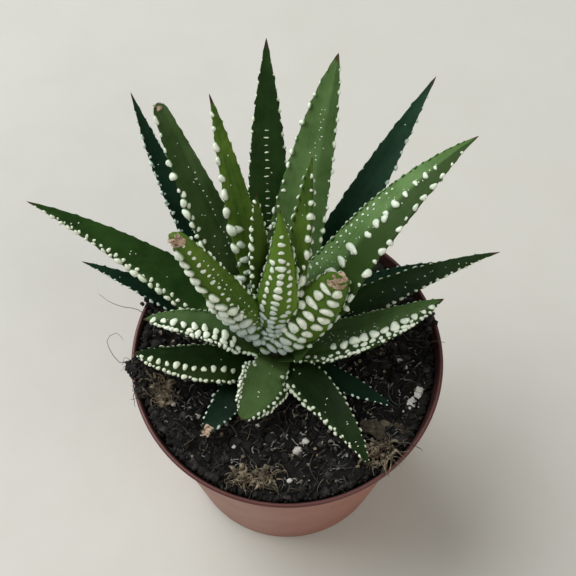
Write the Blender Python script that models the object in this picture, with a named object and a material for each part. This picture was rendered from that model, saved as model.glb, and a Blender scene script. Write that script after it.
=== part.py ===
"""A young zebra haworthia in a thin plastic nursery pot.

Metres, +Z up. The origin is the centre of the pot's flat underside.
+Y is the side that the tallest leaves lean towards, +X is to the right of it.
"""
import math

import bmesh
import bpy
from mathutils import Vector, noise

MM = 0.001

# ---- driving dimensions -------------------------------------------------------------
POT_HEIGHT = 72 * MM
RIM_RADIUS = 42.5 * MM          # outside of the rolled rim
MOUTH_RADIUS = 40.7 * MM        # inside of the rim
COLLAR_RADIUS = 41.0 * MM       # outside of the band under the rim
COLLAR_HEIGHT = 7 * MM
SHOULDER_RADIUS = 39.6 * MM     # outside of the wall just under the band
BASE_RADIUS = 31 * MM           # outside of the wall at the floor of the pot
WALL = 1.2 * MM
FLOOR = 1.5 * MM
POT_SIDES = 64
DRAIN_HOLES = 6
DRAIN_RADIUS = 3 * MM
DRAIN_CIRCLE = 18 * MM

GAP = 0.3 * MM                  # left between pieces that touch
SOIL_TOP = 66.5 * MM
SOIL_ROUGHNESS = 1.1 * MM
SOIL_RINGS = 7
SOIL_SIDES = 48

STEM_X = -3 * MM
STEM_Y = 1 * MM
STEM_RADIUS = 3.2 * MM
STEM_BOTTOM = 52 * MM
STEM_TOP = 85 * MM
STEM_SIDES = 20

LEAF_RINGS = 11
TOP_ACROSS = (1.0, 0.5, 0.0, -0.5, -1.0)
BACK_ACROSS = (-0.86, -0.46, 0.0, 0.46, 0.86)
BACK_DEPTH = (0.36, 0.8, 1.0, 0.8, 0.36)
HOLLOW_DEPTH = 0.12             # how far the upper face dips, as a share of its width
NECK_SHARE = 0.34               # width of the clasping base, as a share of the widest
NECK_THICKNESS = 1.5 * MM
NECK_END = 0.26                 # where along the leaf it has its full width

# Every leaf, oldest and lowest first. Lengths in millimetres, angles in degrees.
#   heading: compass bearing of the base, 0 along +X, 90 along +Y
#   sway:    how far the bearing turns by the tip
#   rise:    climb of the base above level (past 90 it leans over the crown)
#   arch:    how much the climb changes by the tip
#   roll:    turn about its own length; + raises the left edge, seen from the stem
#   blunt:   share of the tip that has dried off
#   taper:   2 for a lance, 3 for a full tongue
LEAF_FIELDS = ("name", "seat", "root", "heading", "sway", "rise", "arch", "length",
               "width", "thick", "taper", "roll", "blunt")
LEAVES = (
    ("leaf_01", 69.6, 4.5, -136, 16, 8, -8, 25, 10.5, 2.6, 2.2, 0, 0.12),
    ("leaf_02", 69.6, 4.5, -24, -6, 7, -6, 31, 9.0, 2.5, 2.0, -12, 0),
    ("leaf_03", 69.7, 4.5, 150, 11, 8, 0, 56, 10.0, 2.8, 1.9, 10, 0),
    ("leaf_04", 69.4, 4.5, 88, 6, 10, -2, 50, 11.0, 3.0, 2.1, 0, 0),
    ("leaf_05", 70.0, 4.5, 45, -44, 10, -2, 55, 10.5, 2.9, 1.9, 0, 0),
    ("leaf_06", 71.1, 4.5, 114, 4, 14, -4, 52, 11.0, 3.0, 2.1, 0, 0),
    ("leaf_07", 71.4, 4.5, 194, -24, 18, -18, 35, 14.0, 4.8, 2.6, 28, 0.03),
    ("leaf_08", 72.3, 4.5, -46, -17, 12, -18, 37, 11.0, 3.3, 2.0, 0, 0),
    ("leaf_09", 74.4, 4.5, -101, -34, 24, -50, 19, 15.0, 4.2, 2.6, -22, 0.05),
    ("leaf_10", 72.5, 4.5, 143, 20, 17, -2, 75, 15.0, 4.4, 1.8, 14, 0),
    ("leaf_11", 77.4, 4.5, 167, 14, 39, -52, 33, 12.5, 4.5, 2.8, 36, 0.03),
    ("leaf_12", 72.8, 4.5, 29, -20, 17, -2, 62, 11.5, 3.9, 1.9, -10, 0),
    ("leaf_13", 77.2, 4.5, -3, 26, 30, -22, 43, 13.5, 4.8, 2.6, -28, 0.03),
    ("leaf_14", 73.7, 4.0, 133, -20, 29.5, 0, 76, 10.0, 3.5, 2.2, 10, 0),
    ("leaf_15", 75.3, 4.0, 56, -4, 35, -4, 80, 12.0, 4.2, 2.2, 0, 0),
    ("leaf_16", 76.7, 4.0, 94, -4, 38, -4, 78, 12.5, 4.0, 2.7, 0, 0),
    ("leaf_17", 79.7, 4.0, 127, -8, 46, -8, 67, 13.5, 4.7, 2.6, 16, 0.09),
    ("leaf_18", 78.5, 3.8, 78, -7, 46, -10, 75, 15.0, 4.8, 2.6, 0, 0.04),
    ("leaf_19", 82.4, 3.6, 47, -20, 54, -38, 73, 13.5, 5.0, 2.6, -34, 0),
    ("leaf_20", 82.3, 3.8, 159, -3, 59, 2, 45, 11.0, 5.0, 2.4, 108, 0.12),
    ("leaf_21", 80.4, 3.4, 2, 42, 52, 6, 28, 11.0, 5.4, 2.4, -105, 0.16),
    ("leaf_22", 82.0, 3.4, 111, 0, 58, -12, 66, 9.0, 4.0, 2.6, 30, 0),
    ("leaf_23", 83.6, 3.0, 64, 14, 66, -4, 53, 7.5, 3.8, 2.2, -40, 0),
    ("leaf_24", 84.0, 2.8, 114, -24, 70, 0, 45, 6.5, 3.6, 2.2, 25, 0),
    ("leaf_25", 84.0, 3.2, -114, 32, 113, 10, 42, 11.0, 4.8, 1.7, 0, 0),
)

# Dead leaves and tufts of dry roots on the peat: places and sizes in millimetres.
#   clump: name, x, y, (half length, half width, height), turn in degrees
#   dry leaf: name, x, y, heading, length, width
LITTER_CLEARANCE = 0.6 * MM
DRY_LEAF_LIFT = 2.4 * MM
CLUMPS = (
    ("root_tuft_front", -9.5, -34.0, (7.5, 2.8, 2.4), 2),
    ("root_tuft_right", 24.5, -27.5, (6.5, 2.8, 2.2), 38),
    ("root_tuft_left", -34.5, -9.5, (4.2, 2.4, 1.8), -60),
)
DRY_LEAVES = (
    ("dry_leaf_left", -27.0, 10.5, 170, 9, 5),
    ("dry_leaf_right", 22.5, -19.5, -20, 11, 6),
)

LEAF_GREENS = {
    "dark": (0.030, 0.085, 0.045),
    "mid": (0.075, 0.160, 0.050),
    "young": (0.170, 0.260, 0.050),
}
TERRACOTTA = (0.42, 0.16, 0.10)
PEAT = (0.030, 0.024, 0.020)
STEM_TAN = (0.25, 0.24, 0.10)
STRAW = (0.33, 0.24, 0.13)


# ---- helpers ------------------------------------------------------------------------
def clear_scene():
    for thing in list(bpy.data.objects):
        bpy.data.objects.remove(thing, do_unlink=True)


def make_material(name, colour, roughness):
    material = bpy.data.materials.new(name)
    material.use_nodes = True
    shader = material.node_tree.nodes["Principled BSDF"]
    shader.inputs["Base Color"].default_value = (*colour, 1.0)
    shader.inputs["Roughness"].default_value = roughness
    shader.inputs["Metallic"].default_value = 0.0
    material.diffuse_color = (*colour, 1.0)
    return material


def make_object(name, shape, material, smooth_below=None):
    mesh = bpy.data.meshes.new(name)
    shape.to_mesh(mesh)
    shape.free()
    mesh.materials.append(material)
    if smooth_below is not None:
        mesh.shade_smooth()
        mesh.set_sharp_from_angle(angle=math.radians(smooth_below))
    thing = bpy.data.objects.new(name, mesh)
    bpy.context.collection.objects.link(thing)
    return thing


def skin_rings(shape, rings):
    """Join a list of equal rings of vertices with quads."""
    for lower, upper in zip(rings, rings[1:]):
        count = len(lower)
        for i in range(count):
            j = (i + 1) % count
            shape.faces.new((lower[i], lower[j], upper[j], upper[i]))


def circle_of_points(shape, radius, height, sides, centre=(0, 0)):
    ring = []
    for i in range(sides):
        angle = math.tau * i / sides
        ring.append(shape.verts.new((centre[0] + radius * math.cos(angle),
                                     centre[1] + radius * math.sin(angle), height)))
    return ring


def turn_profile(shape, profile, sides, centre=(0, 0)):
    """Spin (radius, height) points about a vertical line; both ends get a flat cap."""
    rings = [circle_of_points(shape, radius, height, sides, centre) for radius, height in profile]
    skin_rings(shape, rings)
    shape.faces.new(list(reversed(rings[0])))
    shape.faces.new(rings[-1])
    bmesh.ops.recalc_face_normals(shape, faces=shape.faces)


def smooth_step(value):
    value = min(max(value, 0.0), 1.0)
    return value * value * (3 - 2 * value)


# ---- the pot ------------------------------------------------------------------------
def make_pot(material):
    """One thin moulded shell: flat floor, tapered wall, a band and a rolled rim."""
    collar_bottom = POT_HEIGHT - COLLAR_HEIGHT
    profile = (
        (BASE_RADIUS - 1.5 * MM, 0),
        (BASE_RADIUS - 0.4 * MM, 0.5 * MM),
        (BASE_RADIUS, 2 * MM),
        (SHOULDER_RADIUS, collar_bottom - 0.5 * MM),
        (COLLAR_RADIUS, collar_bottom),
        (COLLAR_RADIUS + 0.3 * MM, POT_HEIGHT - 1.8 * MM),
        (RIM_RADIUS, POT_HEIGHT - 1.2 * MM),
        (RIM_RADIUS, POT_HEIGHT - 0.4 * MM),
        (RIM_RADIUS - 0.5 * MM, POT_HEIGHT),
        (MOUTH_RADIUS + 0.3 * MM, POT_HEIGHT),
        (MOUTH_RADIUS, POT_HEIGHT - 0.4 * MM),
        (COLLAR_RADIUS - WALL, collar_bottom),
        (SHOULDER_RADIUS - WALL, collar_bottom - 0.6 * MM),
        (BASE_RADIUS - WALL, FLOOR + 1 * MM),
        (BASE_RADIUS - WALL - 0.8 * MM, FLOOR),
    )
    shape = bmesh.new()
    turn_profile(shape, profile, POT_SIDES)
    pot = make_object("pot", shape, material, smooth_below=40)
    for number in range(DRAIN_HOLES):
        angle = math.tau * (number + 0.5) / DRAIN_HOLES
        cutter_shape = bmesh.new()
        bmesh.ops.create_cone(cutter_shape, cap_ends=True, segments=16, radius1=DRAIN_RADIUS,
                              radius2=DRAIN_RADIUS, depth=6 * MM)
        place = Vector((DRAIN_CIRCLE * math.cos(angle), DRAIN_CIRCLE * math.sin(angle), 0))
        bmesh.ops.translate(cutter_shape, vec=place, verts=cutter_shape.verts)
        cutter = make_object(f"drain_cutter_{number + 1}", cutter_shape, material)
        cutter.hide_render = True
        cutter.display_type = "WIRE"
        cut = pot.modifiers.new(f"drain_hole_{number + 1}", "BOOLEAN")
        cut.operation = "DIFFERENCE"
        cut.solver = "EXACT"
        cut.object = cutter
    return pot


# ---- the soil -----------------------------------------------------------------------
def soil_height(x, y):
    """Height of the lumpy peat, a little banked up towards the stem."""
    lumps = noise.noise(Vector((x, y, 0.003)) * 90) + 0.5 * noise.noise(Vector((x, y, 0.02)) * 210)
    from_stem = math.hypot(x - STEM_X, y - STEM_Y)
    bank = 1.2 * MM * (1 - smooth_step(from_stem / (18 * MM)))
    return SOIL_TOP + SOIL_ROUGHNESS * lumps + bank


def make_soil(material):
    """The root ball: it fills the pot, and the stem stands in a socket in its top."""
    collar_bottom = POT_HEIGHT - COLLAR_HEIGHT
    top_radius = COLLAR_RADIUS - WALL - 0.5 * MM
    socket_radius = STEM_RADIUS + GAP
    shape = bmesh.new()
    centre = Vector((STEM_X, STEM_Y, 0))
    rings = []
    for radius, height in (
        (BASE_RADIUS - WALL - 1.3 * MM, FLOOR + GAP),
        (BASE_RADIUS - WALL - 0.3 * MM, FLOOR + 1.6 * MM),
        (SHOULDER_RADIUS - WALL - 0.4 * MM, collar_bottom - 0.6 * MM),
        (top_radius, collar_bottom + 0.6 * MM),
    ):
        rings.append(circle_of_points(shape, radius, height, SOIL_SIDES))
    for step in range(SOIL_RINGS + 1):
        share = step / SOIL_RINGS
        ring = []
        for i in range(SOIL_SIDES):
            angle = math.tau * i / SOIL_SIDES
            edge = Vector((top_radius * math.cos(angle), top_radius * math.sin(angle), 0))
            socket = centre + Vector((socket_radius * math.cos(angle), socket_radius * math.sin(angle), 0))
            place = edge.lerp(socket, share)
            ring.append(shape.verts.new((place.x, place.y, soil_height(place.x, place.y))))
        rings.append(ring)
    socket_floor = circle_of_points(shape, socket_radius, STEM_BOTTOM - GAP, SOIL_SIDES,
                                    (STEM_X, STEM_Y))
    rings.append(socket_floor)
    skin_rings(shape, rings)
    shape.faces.new(list(reversed(rings[0])))
    shape.faces.new(socket_floor)
    bmesh.ops.recalc_face_normals(shape, faces=shape.faces)
    return make_object("soil", shape, material, smooth_below=60)


# ---- the plant ----------------------------------------------------------------------
def make_stem(material):
    """The short woody stem that the leaves clasp; its crown ends in a low dome."""
    profile = (
        (STEM_RADIUS * 0.7, STEM_BOTTOM),
        (STEM_RADIUS, STEM_BOTTOM + 3 * MM),
        (STEM_RADIUS, STEM_TOP - 11 * MM),
        (STEM_RADIUS * 0.85, STEM_TOP - 5 * MM),
        (STEM_RADIUS * 0.6, STEM_TOP - 1.5 * MM),
        (STEM_RADIUS * 0.25, STEM_TOP),
    )
    shape = bmesh.new()
    turn_profile(shape, profile, STEM_SIDES, (STEM_X, STEM_Y))
    return make_object("stem", shape, material, smooth_below=50)


def direction(bearing, climb):
    bearing = math.radians(bearing)
    climb = math.radians(climb)
    return Vector((math.cos(bearing) * math.cos(climb), math.sin(bearing) * math.cos(climb),
                   math.sin(climb)))


def seat_on_stem(leaf):
    bearing = math.radians(leaf["heading"])
    return Vector((STEM_X + leaf["root"] * MM * math.cos(bearing),
                   STEM_Y + leaf["root"] * MM * math.sin(bearing), leaf["seat"] * MM))


def leaf_stations(leaf, start):
    """Places along the leaf: (share of length, point, forward, left edge way, upper face way)."""
    point = start.copy()
    step = leaf["length"] * MM / LEAF_RINGS
    stations = []
    for number in range(LEAF_RINGS + 1):
        share = number / LEAF_RINGS
        turn = leaf["heading"] + leaf["sway"] * share
        forward = direction(turn, leaf["rise"] + leaf["arch"] * share)
        left = Vector((-math.sin(math.radians(turn)), math.cos(math.radians(turn)), 0))
        upper = forward.cross(left)
        roll = math.radians(leaf["roll"]) * smooth_step(share / 0.35)
        rolled_left = left * math.cos(roll) + upper * math.sin(roll)
        stations.append((share, point.copy(), forward, rolled_left, forward.cross(rolled_left)))
        middle = share + 0.5 / LEAF_RINGS
        point += direction(leaf["heading"] + leaf["sway"] * middle,
                           leaf["rise"] + leaf["arch"] * middle) * step
    return stations


def leaf_width(leaf, share):
    """Lance outline: narrow where it clasps the stem, widest low down, then a long taper."""
    grown = share * (1 - leaf["blunt"])
    outline = 1 - grown ** leaf["taper"]
    neck = NECK_SHARE + (1 - NECK_SHARE) * smooth_step(share / NECK_END)
    return leaf["width"] * MM * outline * neck


def leaf_thickness(leaf, share):
    grown = share * (1 - leaf["blunt"])
    full = leaf["thick"] * MM * (1 - grown ** (leaf["taper"] + 0.6))
    blend = smooth_step(share / 0.4)
    return NECK_THICKNESS * (1 - blend) + full * blend


def make_leaf(leaf, start, material):
    """A fleshy leaf: slightly hollow above, keeled and rounded beneath, closed at both ends."""
    shape = bmesh.new()
    rings = []
    stations = leaf_stations(leaf, start)
    for share, point, forward, left, upper in stations[:-1]:
        half = leaf_width(leaf, share) / 2
        deep = leaf_thickness(leaf, share)
        ring = []
        for across in TOP_ACROSS:
            dip = HOLLOW_DEPTH * half * (1 - across * across)
            ring.append(shape.verts.new(point + left * half * across - upper * dip))
        for across, depth in zip(BACK_ACROSS, BACK_DEPTH):
            ring.append(shape.verts.new(point + left * half * across - upper * deep * depth))
        rings.append(ring)
    skin_rings(shape, rings)
    shape.faces.new(rings[0])
    tip = shape.verts.new(stations[-1][1] - stations[-1][4] * 0.3 * MM)
    last = rings[-1]
    for i in range(len(last)):
        shape.faces.new((last[i], last[(i + 1) % len(last)], tip))
    bmesh.ops.recalc_face_normals(shape, faces=shape.faces)
    return make_object(leaf["name"], shape, material, smooth_below=50)


def leaf_green(number):
    if number in (7, 1, 2, 3, 4, 5, 6, 14, 15):
        return "dark"
    if number >= 20:
        return "young"
    return "mid"


# ---- what lies on the soil ----------------------------------------------------------
def make_clump(name, x, y, half_sizes, turn, material):
    """A tuft of dry roots as one low closed lump that sits on the peat."""
    shape = bmesh.new()
    bmesh.ops.create_icosphere(shape, subdivisions=2, radius=1)
    turn = math.radians(turn)
    for vertex in shape.verts:
        rough = 1 + 0.25 * noise.noise(vertex.co * 1.7 + Vector((x, y, 0)) * 100)
        along, aside, high = (vertex.co[i] * half_sizes[i] * MM * rough for i in range(3))
        vertex.co.x = x * MM + along * math.cos(turn) - aside * math.sin(turn)
        vertex.co.y = y * MM + along * math.sin(turn) + aside * math.cos(turn)
        ground = soil_height(vertex.co.x, vertex.co.y) + LITTER_CLEARANCE
        vertex.co.z = ground + max(high, 0) + 0.25 * MM * (vertex.co.z > 0)
        if high < 0:
            vertex.co.z = ground + 0.1 * high
    bmesh.ops.recalc_face_normals(shape, faces=shape.faces)
    return make_object(name, shape, material, smooth_below=60)


def make_litter(material):
    for values in CLUMPS:
        make_clump(*values, material)
    for name, x, y, heading, length, width in DRY_LEAVES:
        scrap = dict(zip(LEAF_FIELDS, (name, 0, 0, heading, 25, 4, -6, length, width, 1.4, 2.6, 10, 0.1)))
        start = Vector((x * MM, y * MM, soil_height(x * MM, y * MM) + DRY_LEAF_LIFT))
        make_leaf(scrap, start, material)


def main():
    clear_scene()
    make_pot(make_material("terracotta_plastic", TERRACOTTA, 0.5))
    make_soil(make_material("peat", PEAT, 0.95))
    make_stem(make_material("stem_tan", STEM_TAN, 0.7))
    greens = {name: make_material(f"leaf_{name}", colour, 0.4) for name, colour in LEAF_GREENS.items()}
    for number, values in enumerate(LEAVES, start=1):
        leaf = dict(zip(LEAF_FIELDS, values))
        make_leaf(leaf, seat_on_stem(leaf), greens[leaf_green(number)])
    straw = make_material("straw", STRAW, 0.9)
    make_litter(straw)


main()
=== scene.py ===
# %% [markdown]
# # A potted haworthia
# A small succulent in a thin nursery pot: twenty-five fleshy leaves with white knobs, a crown of
# young leaves, and black peat with roots, straw and perlite on it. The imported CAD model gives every
# place and size. The cells below put the looks around it, one part at a time.

# %% Load the frame
import math
import random

import bpy
import numpy as np
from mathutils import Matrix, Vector, noise
from mathutils.bvhtree import BVHTree


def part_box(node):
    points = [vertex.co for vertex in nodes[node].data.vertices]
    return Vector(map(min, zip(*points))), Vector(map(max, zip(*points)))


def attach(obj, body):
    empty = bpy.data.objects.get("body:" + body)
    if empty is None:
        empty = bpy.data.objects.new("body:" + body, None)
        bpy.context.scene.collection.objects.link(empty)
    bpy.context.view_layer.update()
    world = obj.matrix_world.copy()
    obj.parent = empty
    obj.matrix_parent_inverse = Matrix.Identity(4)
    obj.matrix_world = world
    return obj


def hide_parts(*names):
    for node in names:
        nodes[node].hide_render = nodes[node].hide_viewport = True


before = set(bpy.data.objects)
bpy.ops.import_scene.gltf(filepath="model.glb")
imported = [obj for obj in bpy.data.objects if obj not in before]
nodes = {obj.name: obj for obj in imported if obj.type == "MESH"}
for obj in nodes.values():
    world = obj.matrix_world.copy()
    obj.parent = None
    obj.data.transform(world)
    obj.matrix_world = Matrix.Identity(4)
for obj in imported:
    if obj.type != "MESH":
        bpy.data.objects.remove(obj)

NOISE_SEED = 11
noise.seed_set(NOISE_SEED)  # unseeded, noise_vector starts from the clock and differs from run to run

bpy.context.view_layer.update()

# %% [markdown]
# ## Sizes that everything else leans on
# The pot is round and stands on its own middle, so its box gives the rim radius and the height.
# The soil's box gives the level of the peat, and the stem's box gives the middle of the rosette.

# %% Measure the frame
MM = 0.001
pot_low, pot_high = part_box("pot")
soil_low, soil_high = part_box("soil")
stem_low, stem_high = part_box("stem")
RIM = (pot_high[0] - pot_low[0]) / 2
POT_TOP = pot_high[2]
SOIL_EDGE = (soil_high[0] - soil_low[0]) / 2
STEM = Vector(((stem_low[0] + stem_high[0]) / 2, (stem_low[1] + stem_high[1]) / 2, stem_high[2]))
LEAVES = sorted(name for name in nodes if name.startswith("leaf_"))
print("rim radius %.1f mm, pot %.1f mm high, stem at %s" % (RIM / MM, POT_TOP / MM, [round(c / MM, 1) for c in STEM]))

# %% [markdown]
# ## Camera, light and floor
# The plant is seen from the front and high above, so that the rosette opens like a star. A long
# lens keeps the pot's rim nearly a true ellipse. The light is one big soft window high on the left and
# behind, with a weak fill from the front, so shadows stay faint. The floor is a plain pale board.

# %% Camera
EYE = Vector((0.00023, -0.1311, 0.3719))
AIM = Vector((0.0002, 0.0205, POT_TOP))
bpy.ops.object.camera_add(location=EYE, rotation=(AIM - EYE).to_track_quat("-Z", "Y").to_euler())
camera = bpy.context.object
camera.name = "camera"
camera.data.lens = 75
camera.data.sensor_width = 36
camera.data.clip_start = 0.01
bpy.context.scene.camera = camera
bpy.context.scene.view_settings.view_transform = "Standard"
print("camera looks down %.1f degrees" % math.degrees(math.asin((EYE.z - AIM.z) / (EYE - AIM).length)))


# %% Lights
def add_window(name, place, aim, size, watts, colour):
    """A soft square light that faces a point."""
    turn = (Vector(aim) - Vector(place)).to_track_quat("-Z", "Y").to_euler()
    bpy.ops.object.light_add(type="AREA", location=place, rotation=turn)
    light = bpy.context.object
    light.name = name
    light.data.size = size
    light.data.energy = watts
    light.data.color = colour
    return light


add_window("window_light", (-1.05, 0.65, 1.30), (0, 0, 0.05), 1.9, 45, (0.985, 1.0, 0.99))
add_window("fill_light", (0.75, -0.75, 0.9), (0.2, -0.1, 0), 1.2, 7.0, (1.0, 0.93, 0.80))

world = bpy.data.worlds.new("room")
bpy.context.scene.world = world
world.use_nodes = True
world.node_tree.nodes["Background"].inputs["Color"].default_value = (0.96, 0.985, 1.0, 1)
world.node_tree.nodes["Background"].inputs["Strength"].default_value = 0.26


# %% Picking things up
def let_go():
    """Back to object mode with nothing selected: loading the frame leaves its nodes selected."""
    if bpy.context.mode != "OBJECT":
        bpy.ops.object.mode_set(mode="OBJECT")
    bpy.ops.object.select_all(action="DESELECT")


def take(piece):
    """Select one piece alone and make it the active one."""
    let_go()
    piece.select_set(True)
    bpy.context.view_layer.objects.active = piece
    return piece


def settle(piece, name):
    """Name a new piece and put its place into its mesh, so that its object sits at the origin."""
    take(piece)
    bpy.ops.object.transform_apply(location=True, rotation=True, scale=True)
    piece.name = piece.data.name = name
    return piece


def edit_all():
    """Into edit mode with everything selected."""
    bpy.ops.object.mode_set(mode="EDIT")
    bpy.ops.mesh.select_all(action="SELECT")


def face_outwards():
    """Turn every face outwards and leave edit mode."""
    bpy.ops.mesh.select_all(action="SELECT")
    bpy.ops.mesh.normals_make_consistent(inside=False)
    bpy.ops.object.mode_set(mode="OBJECT")


def pull_up(rings):
    """Raise the selected ring through (radius, height) pairs, each new ring scaled to its radius."""
    for (last_radius, last_height), (radius, height) in zip(rings, rings[1:]):
        bpy.ops.mesh.extrude_region_move(TRANSFORM_OT_translate={"value": (0, 0, height - last_height)})
        bpy.ops.transform.resize(value=(radius / last_radius, radius / last_radius, 1),
                                 center_override=(0, 0, height))


def pull_straight(steps):
    """Fill the selected ring, extrude it one unit up in equal steps, and close it in a point."""
    bpy.ops.mesh.edge_face_add()
    for _ in range(steps):
        bpy.ops.mesh.extrude_region_move(TRANSFORM_OT_translate={"value": (0, 0, 1 / steps)})
    bpy.ops.mesh.merge(type="CENTER")


def corners_of(piece):
    return np.array([tuple(corner.co) for corner in piece.data.vertices])


def template_arrays(piece):
    """Corners and triangles of a template, for copies made by numbers."""
    return corners_of(piece), np.array([tuple(face.vertices) for face in piece.data.polygons])


let_go()
FLOOR_SIZE, FLOOR_GAP = 4.0, 0.2 * MM
bpy.ops.mesh.primitive_plane_add(size=FLOOR_SIZE, location=(0, 0, pot_low[2] - FLOOR_GAP))
floor = settle(bpy.context.object, "floor")
print("floor", FLOOR_SIZE, "m wide")

# %% [markdown]
# ## Finishes
# Every finish is made of nodes: noise for colour, roughness and bump, read from Object coordinates or
# from values painted on the mesh. Effects that several finishes share are node groups. A group
# gives out only colours, masks and heights, and the shader itself stays in each material.

# %% Node helpers
def new_material(name):
    """An empty node material with its output and its Principled shader joined."""
    material = bpy.data.materials.new(name)
    material.use_nodes = True
    tree = material.node_tree
    tree.nodes.clear()
    out = tree.nodes.new("ShaderNodeOutputMaterial")
    shader = tree.nodes.new("ShaderNodeBsdfPrincipled")
    tree.links.new(shader.outputs["BSDF"], out.inputs["Surface"])
    return material, tree, shader


def node(tree, kind, settings=None, **inputs):
    """Add a node; inputs are values or the sockets that feed them, by socket name."""
    made = tree.nodes.new(kind)
    for key, value in (settings or {}).items():
        setattr(made, key, value)
    for key, value in inputs.items():
        feed(tree, made.inputs[key.replace("_", " ")], value)
    return made


def feed(tree, socket, value):
    if isinstance(value, bpy.types.NodeSocket):
        tree.links.new(value, socket)
    else:
        socket.default_value = value


def noise_value(tree, place, scale, detail=3.0, rough=0.55):
    made = node(tree, "ShaderNodeTexNoise", Vector=place, Scale=scale, Detail=detail, Roughness=rough)
    return made.outputs["Fac"]


def spread(tree, value, low, high, to_low=0.0, to_high=1.0):
    """Stretch one range of a value onto another, smoothly and with both ends held."""
    made = node(tree, "ShaderNodeMapRange", {"interpolation_type": "SMOOTHSTEP"}, Value=value,
                From_Min=low, From_Max=high, To_Min=to_low, To_Max=to_high)
    return made.outputs["Result"]


def blend_colour(tree, share, first, second, way="MIX"):
    made = tree.nodes.new("ShaderNodeMix")
    made.data_type = "RGBA"
    made.blend_type = way
    feed(tree, made.inputs["Factor"], share)
    feed(tree, [s for s in made.inputs if s.name == "A" and s.type == "RGBA"][0], first)
    feed(tree, [s for s in made.inputs if s.name == "B" and s.type == "RGBA"][0], second)
    return [s for s in made.outputs if s.type == "RGBA"][0]


def sums(tree, what, first, second):
    made = tree.nodes.new("ShaderNodeMath")
    made.operation = what
    feed(tree, made.inputs[0], first)
    feed(tree, made.inputs[1], second)
    return made.outputs[0]


def object_place(tree):
    return tree.nodes.new("ShaderNodeTexCoord").outputs["Object"]


def painted(tree, name, part="Fac"):
    return node(tree, "ShaderNodeAttribute", {"attribute_name": name}).outputs[part]


def bump(tree, height, distance, strength):
    return node(tree, "ShaderNodeBump", Height=height, Distance=distance, Strength=strength).outputs["Normal"]


def dress(tree, shader, colour, rough, height, depth, strength=1.0, gloss=0.5):
    """Feed a finish into its shader; the height becomes a bump of the given depth."""
    feed(tree, shader.inputs["Base Color"], colour)
    feed(tree, shader.inputs["Roughness"], rough)
    feed(tree, shader.inputs["Normal"], bump(tree, height, depth, strength))
    shader.inputs["Specular IOR Level"].default_value = gloss


def glow_inside(shader, weight, radius):
    """A little light inside a juicy or chalky body."""
    shader.inputs["Subsurface Weight"].default_value = weight
    shader.inputs["Subsurface Radius"].default_value = radius
    shader.inputs["Subsurface Scale"].default_value = 1.0


def new_group(name, inputs, outputs):
    """A shader node group with named sockets: inputs are (name, kind, value)."""
    tree = bpy.data.node_groups.new(name, "ShaderNodeTree")
    for label, kind, value in inputs:
        socket = tree.interface.new_socket(name=label, in_out="INPUT", socket_type="NodeSocket" + kind)
        if value is not None:
            socket.default_value = value
    for label, kind in outputs:
        tree.interface.new_socket(name=label, in_out="OUTPUT", socket_type="NodeSocket" + kind)
    return tree, tree.nodes.new("NodeGroupInput").outputs, tree.nodes.new("NodeGroupOutput").inputs


def use_group(tree, group, **inputs):
    made = tree.nodes.new("ShaderNodeGroup")
    made.node_tree = group
    for key, value in inputs.items():
        feed(tree, made.inputs[key.replace("_", " ")], value)
    return made.outputs


print("node helpers ready")

# %% [markdown]
# ### Shared effects
# `mottle` wanders between two colours in soft patches with a finer grain over them. `specks` is a mask
# of small scattered spots, for peat that sticks to the pot. `grit` is a height made of two sizes of
# noise. Leaves, knobs, pot, peat and straw use them with their own values.

# %% Group: mottle
mottle, given, gives = new_group(
    "mottle",
    [("Place", "Vector", None), ("Colour A", "Color", (1, 1, 1, 1)), ("Colour B", "Color", (0, 0, 0, 1)),
     ("Patch", "Float", 60.0), ("Grain", "Float", 900.0), ("Grain Share", "Float", 0.3)],
    [("Colour", "Color")])
patches = spread(mottle, noise_value(mottle, given["Place"], given["Patch"]), 0.32, 0.68)
grain = spread(mottle, noise_value(mottle, given["Place"], given["Grain"], 2.0), 0.3, 0.7)
share = sums(mottle, "ADD", sums(mottle, "MULTIPLY", patches, sums(mottle, "SUBTRACT", 1.0, given["Grain Share"])),
             sums(mottle, "MULTIPLY", grain, given["Grain Share"]))
feed(mottle, gives["Colour"], blend_colour(mottle, share, given["Colour A"], given["Colour B"]))
print("group", mottle.name)

# %% Group: specks
specks, given, gives = new_group(
    "specks", [("Place", "Vector", None), ("Scale", "Float", 500.0), ("Amount", "Float", 0.1)], [("Mask", "Float")])
cells = node(specks, "ShaderNodeTexVoronoi", Vector=given["Place"], Scale=given["Scale"])
chosen = sums(specks, "LESS_THAN", noise_value(specks, given["Place"], 140.0),
              sums(specks, "ADD", 0.36, given["Amount"]))
round_spot = spread(specks, cells.outputs["Distance"], 0.16, 0.3, 1.0, 0.0)
feed(specks, gives["Mask"], sums(specks, "MULTIPLY", round_spot, chosen))
print("group", specks.name)

# %% Group: grit
grit, given, gives = new_group(
    "grit", [("Place", "Vector", None), ("Scale", "Float", 400.0)], [("Height", "Float")])
coarse = noise_value(grit, given["Place"], given["Scale"], 4.0, 0.6)
fine = noise_value(grit, given["Place"], sums(grit, "MULTIPLY", given["Scale"], 4.3), 2.0, 0.5)
feed(grit, gives["Height"], sums(grit, "ADD", sums(grit, "MULTIPLY", coarse, 0.7),
                                 sums(grit, "MULTIPLY", fine, 0.3)))
print("group", grit.name)
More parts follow.
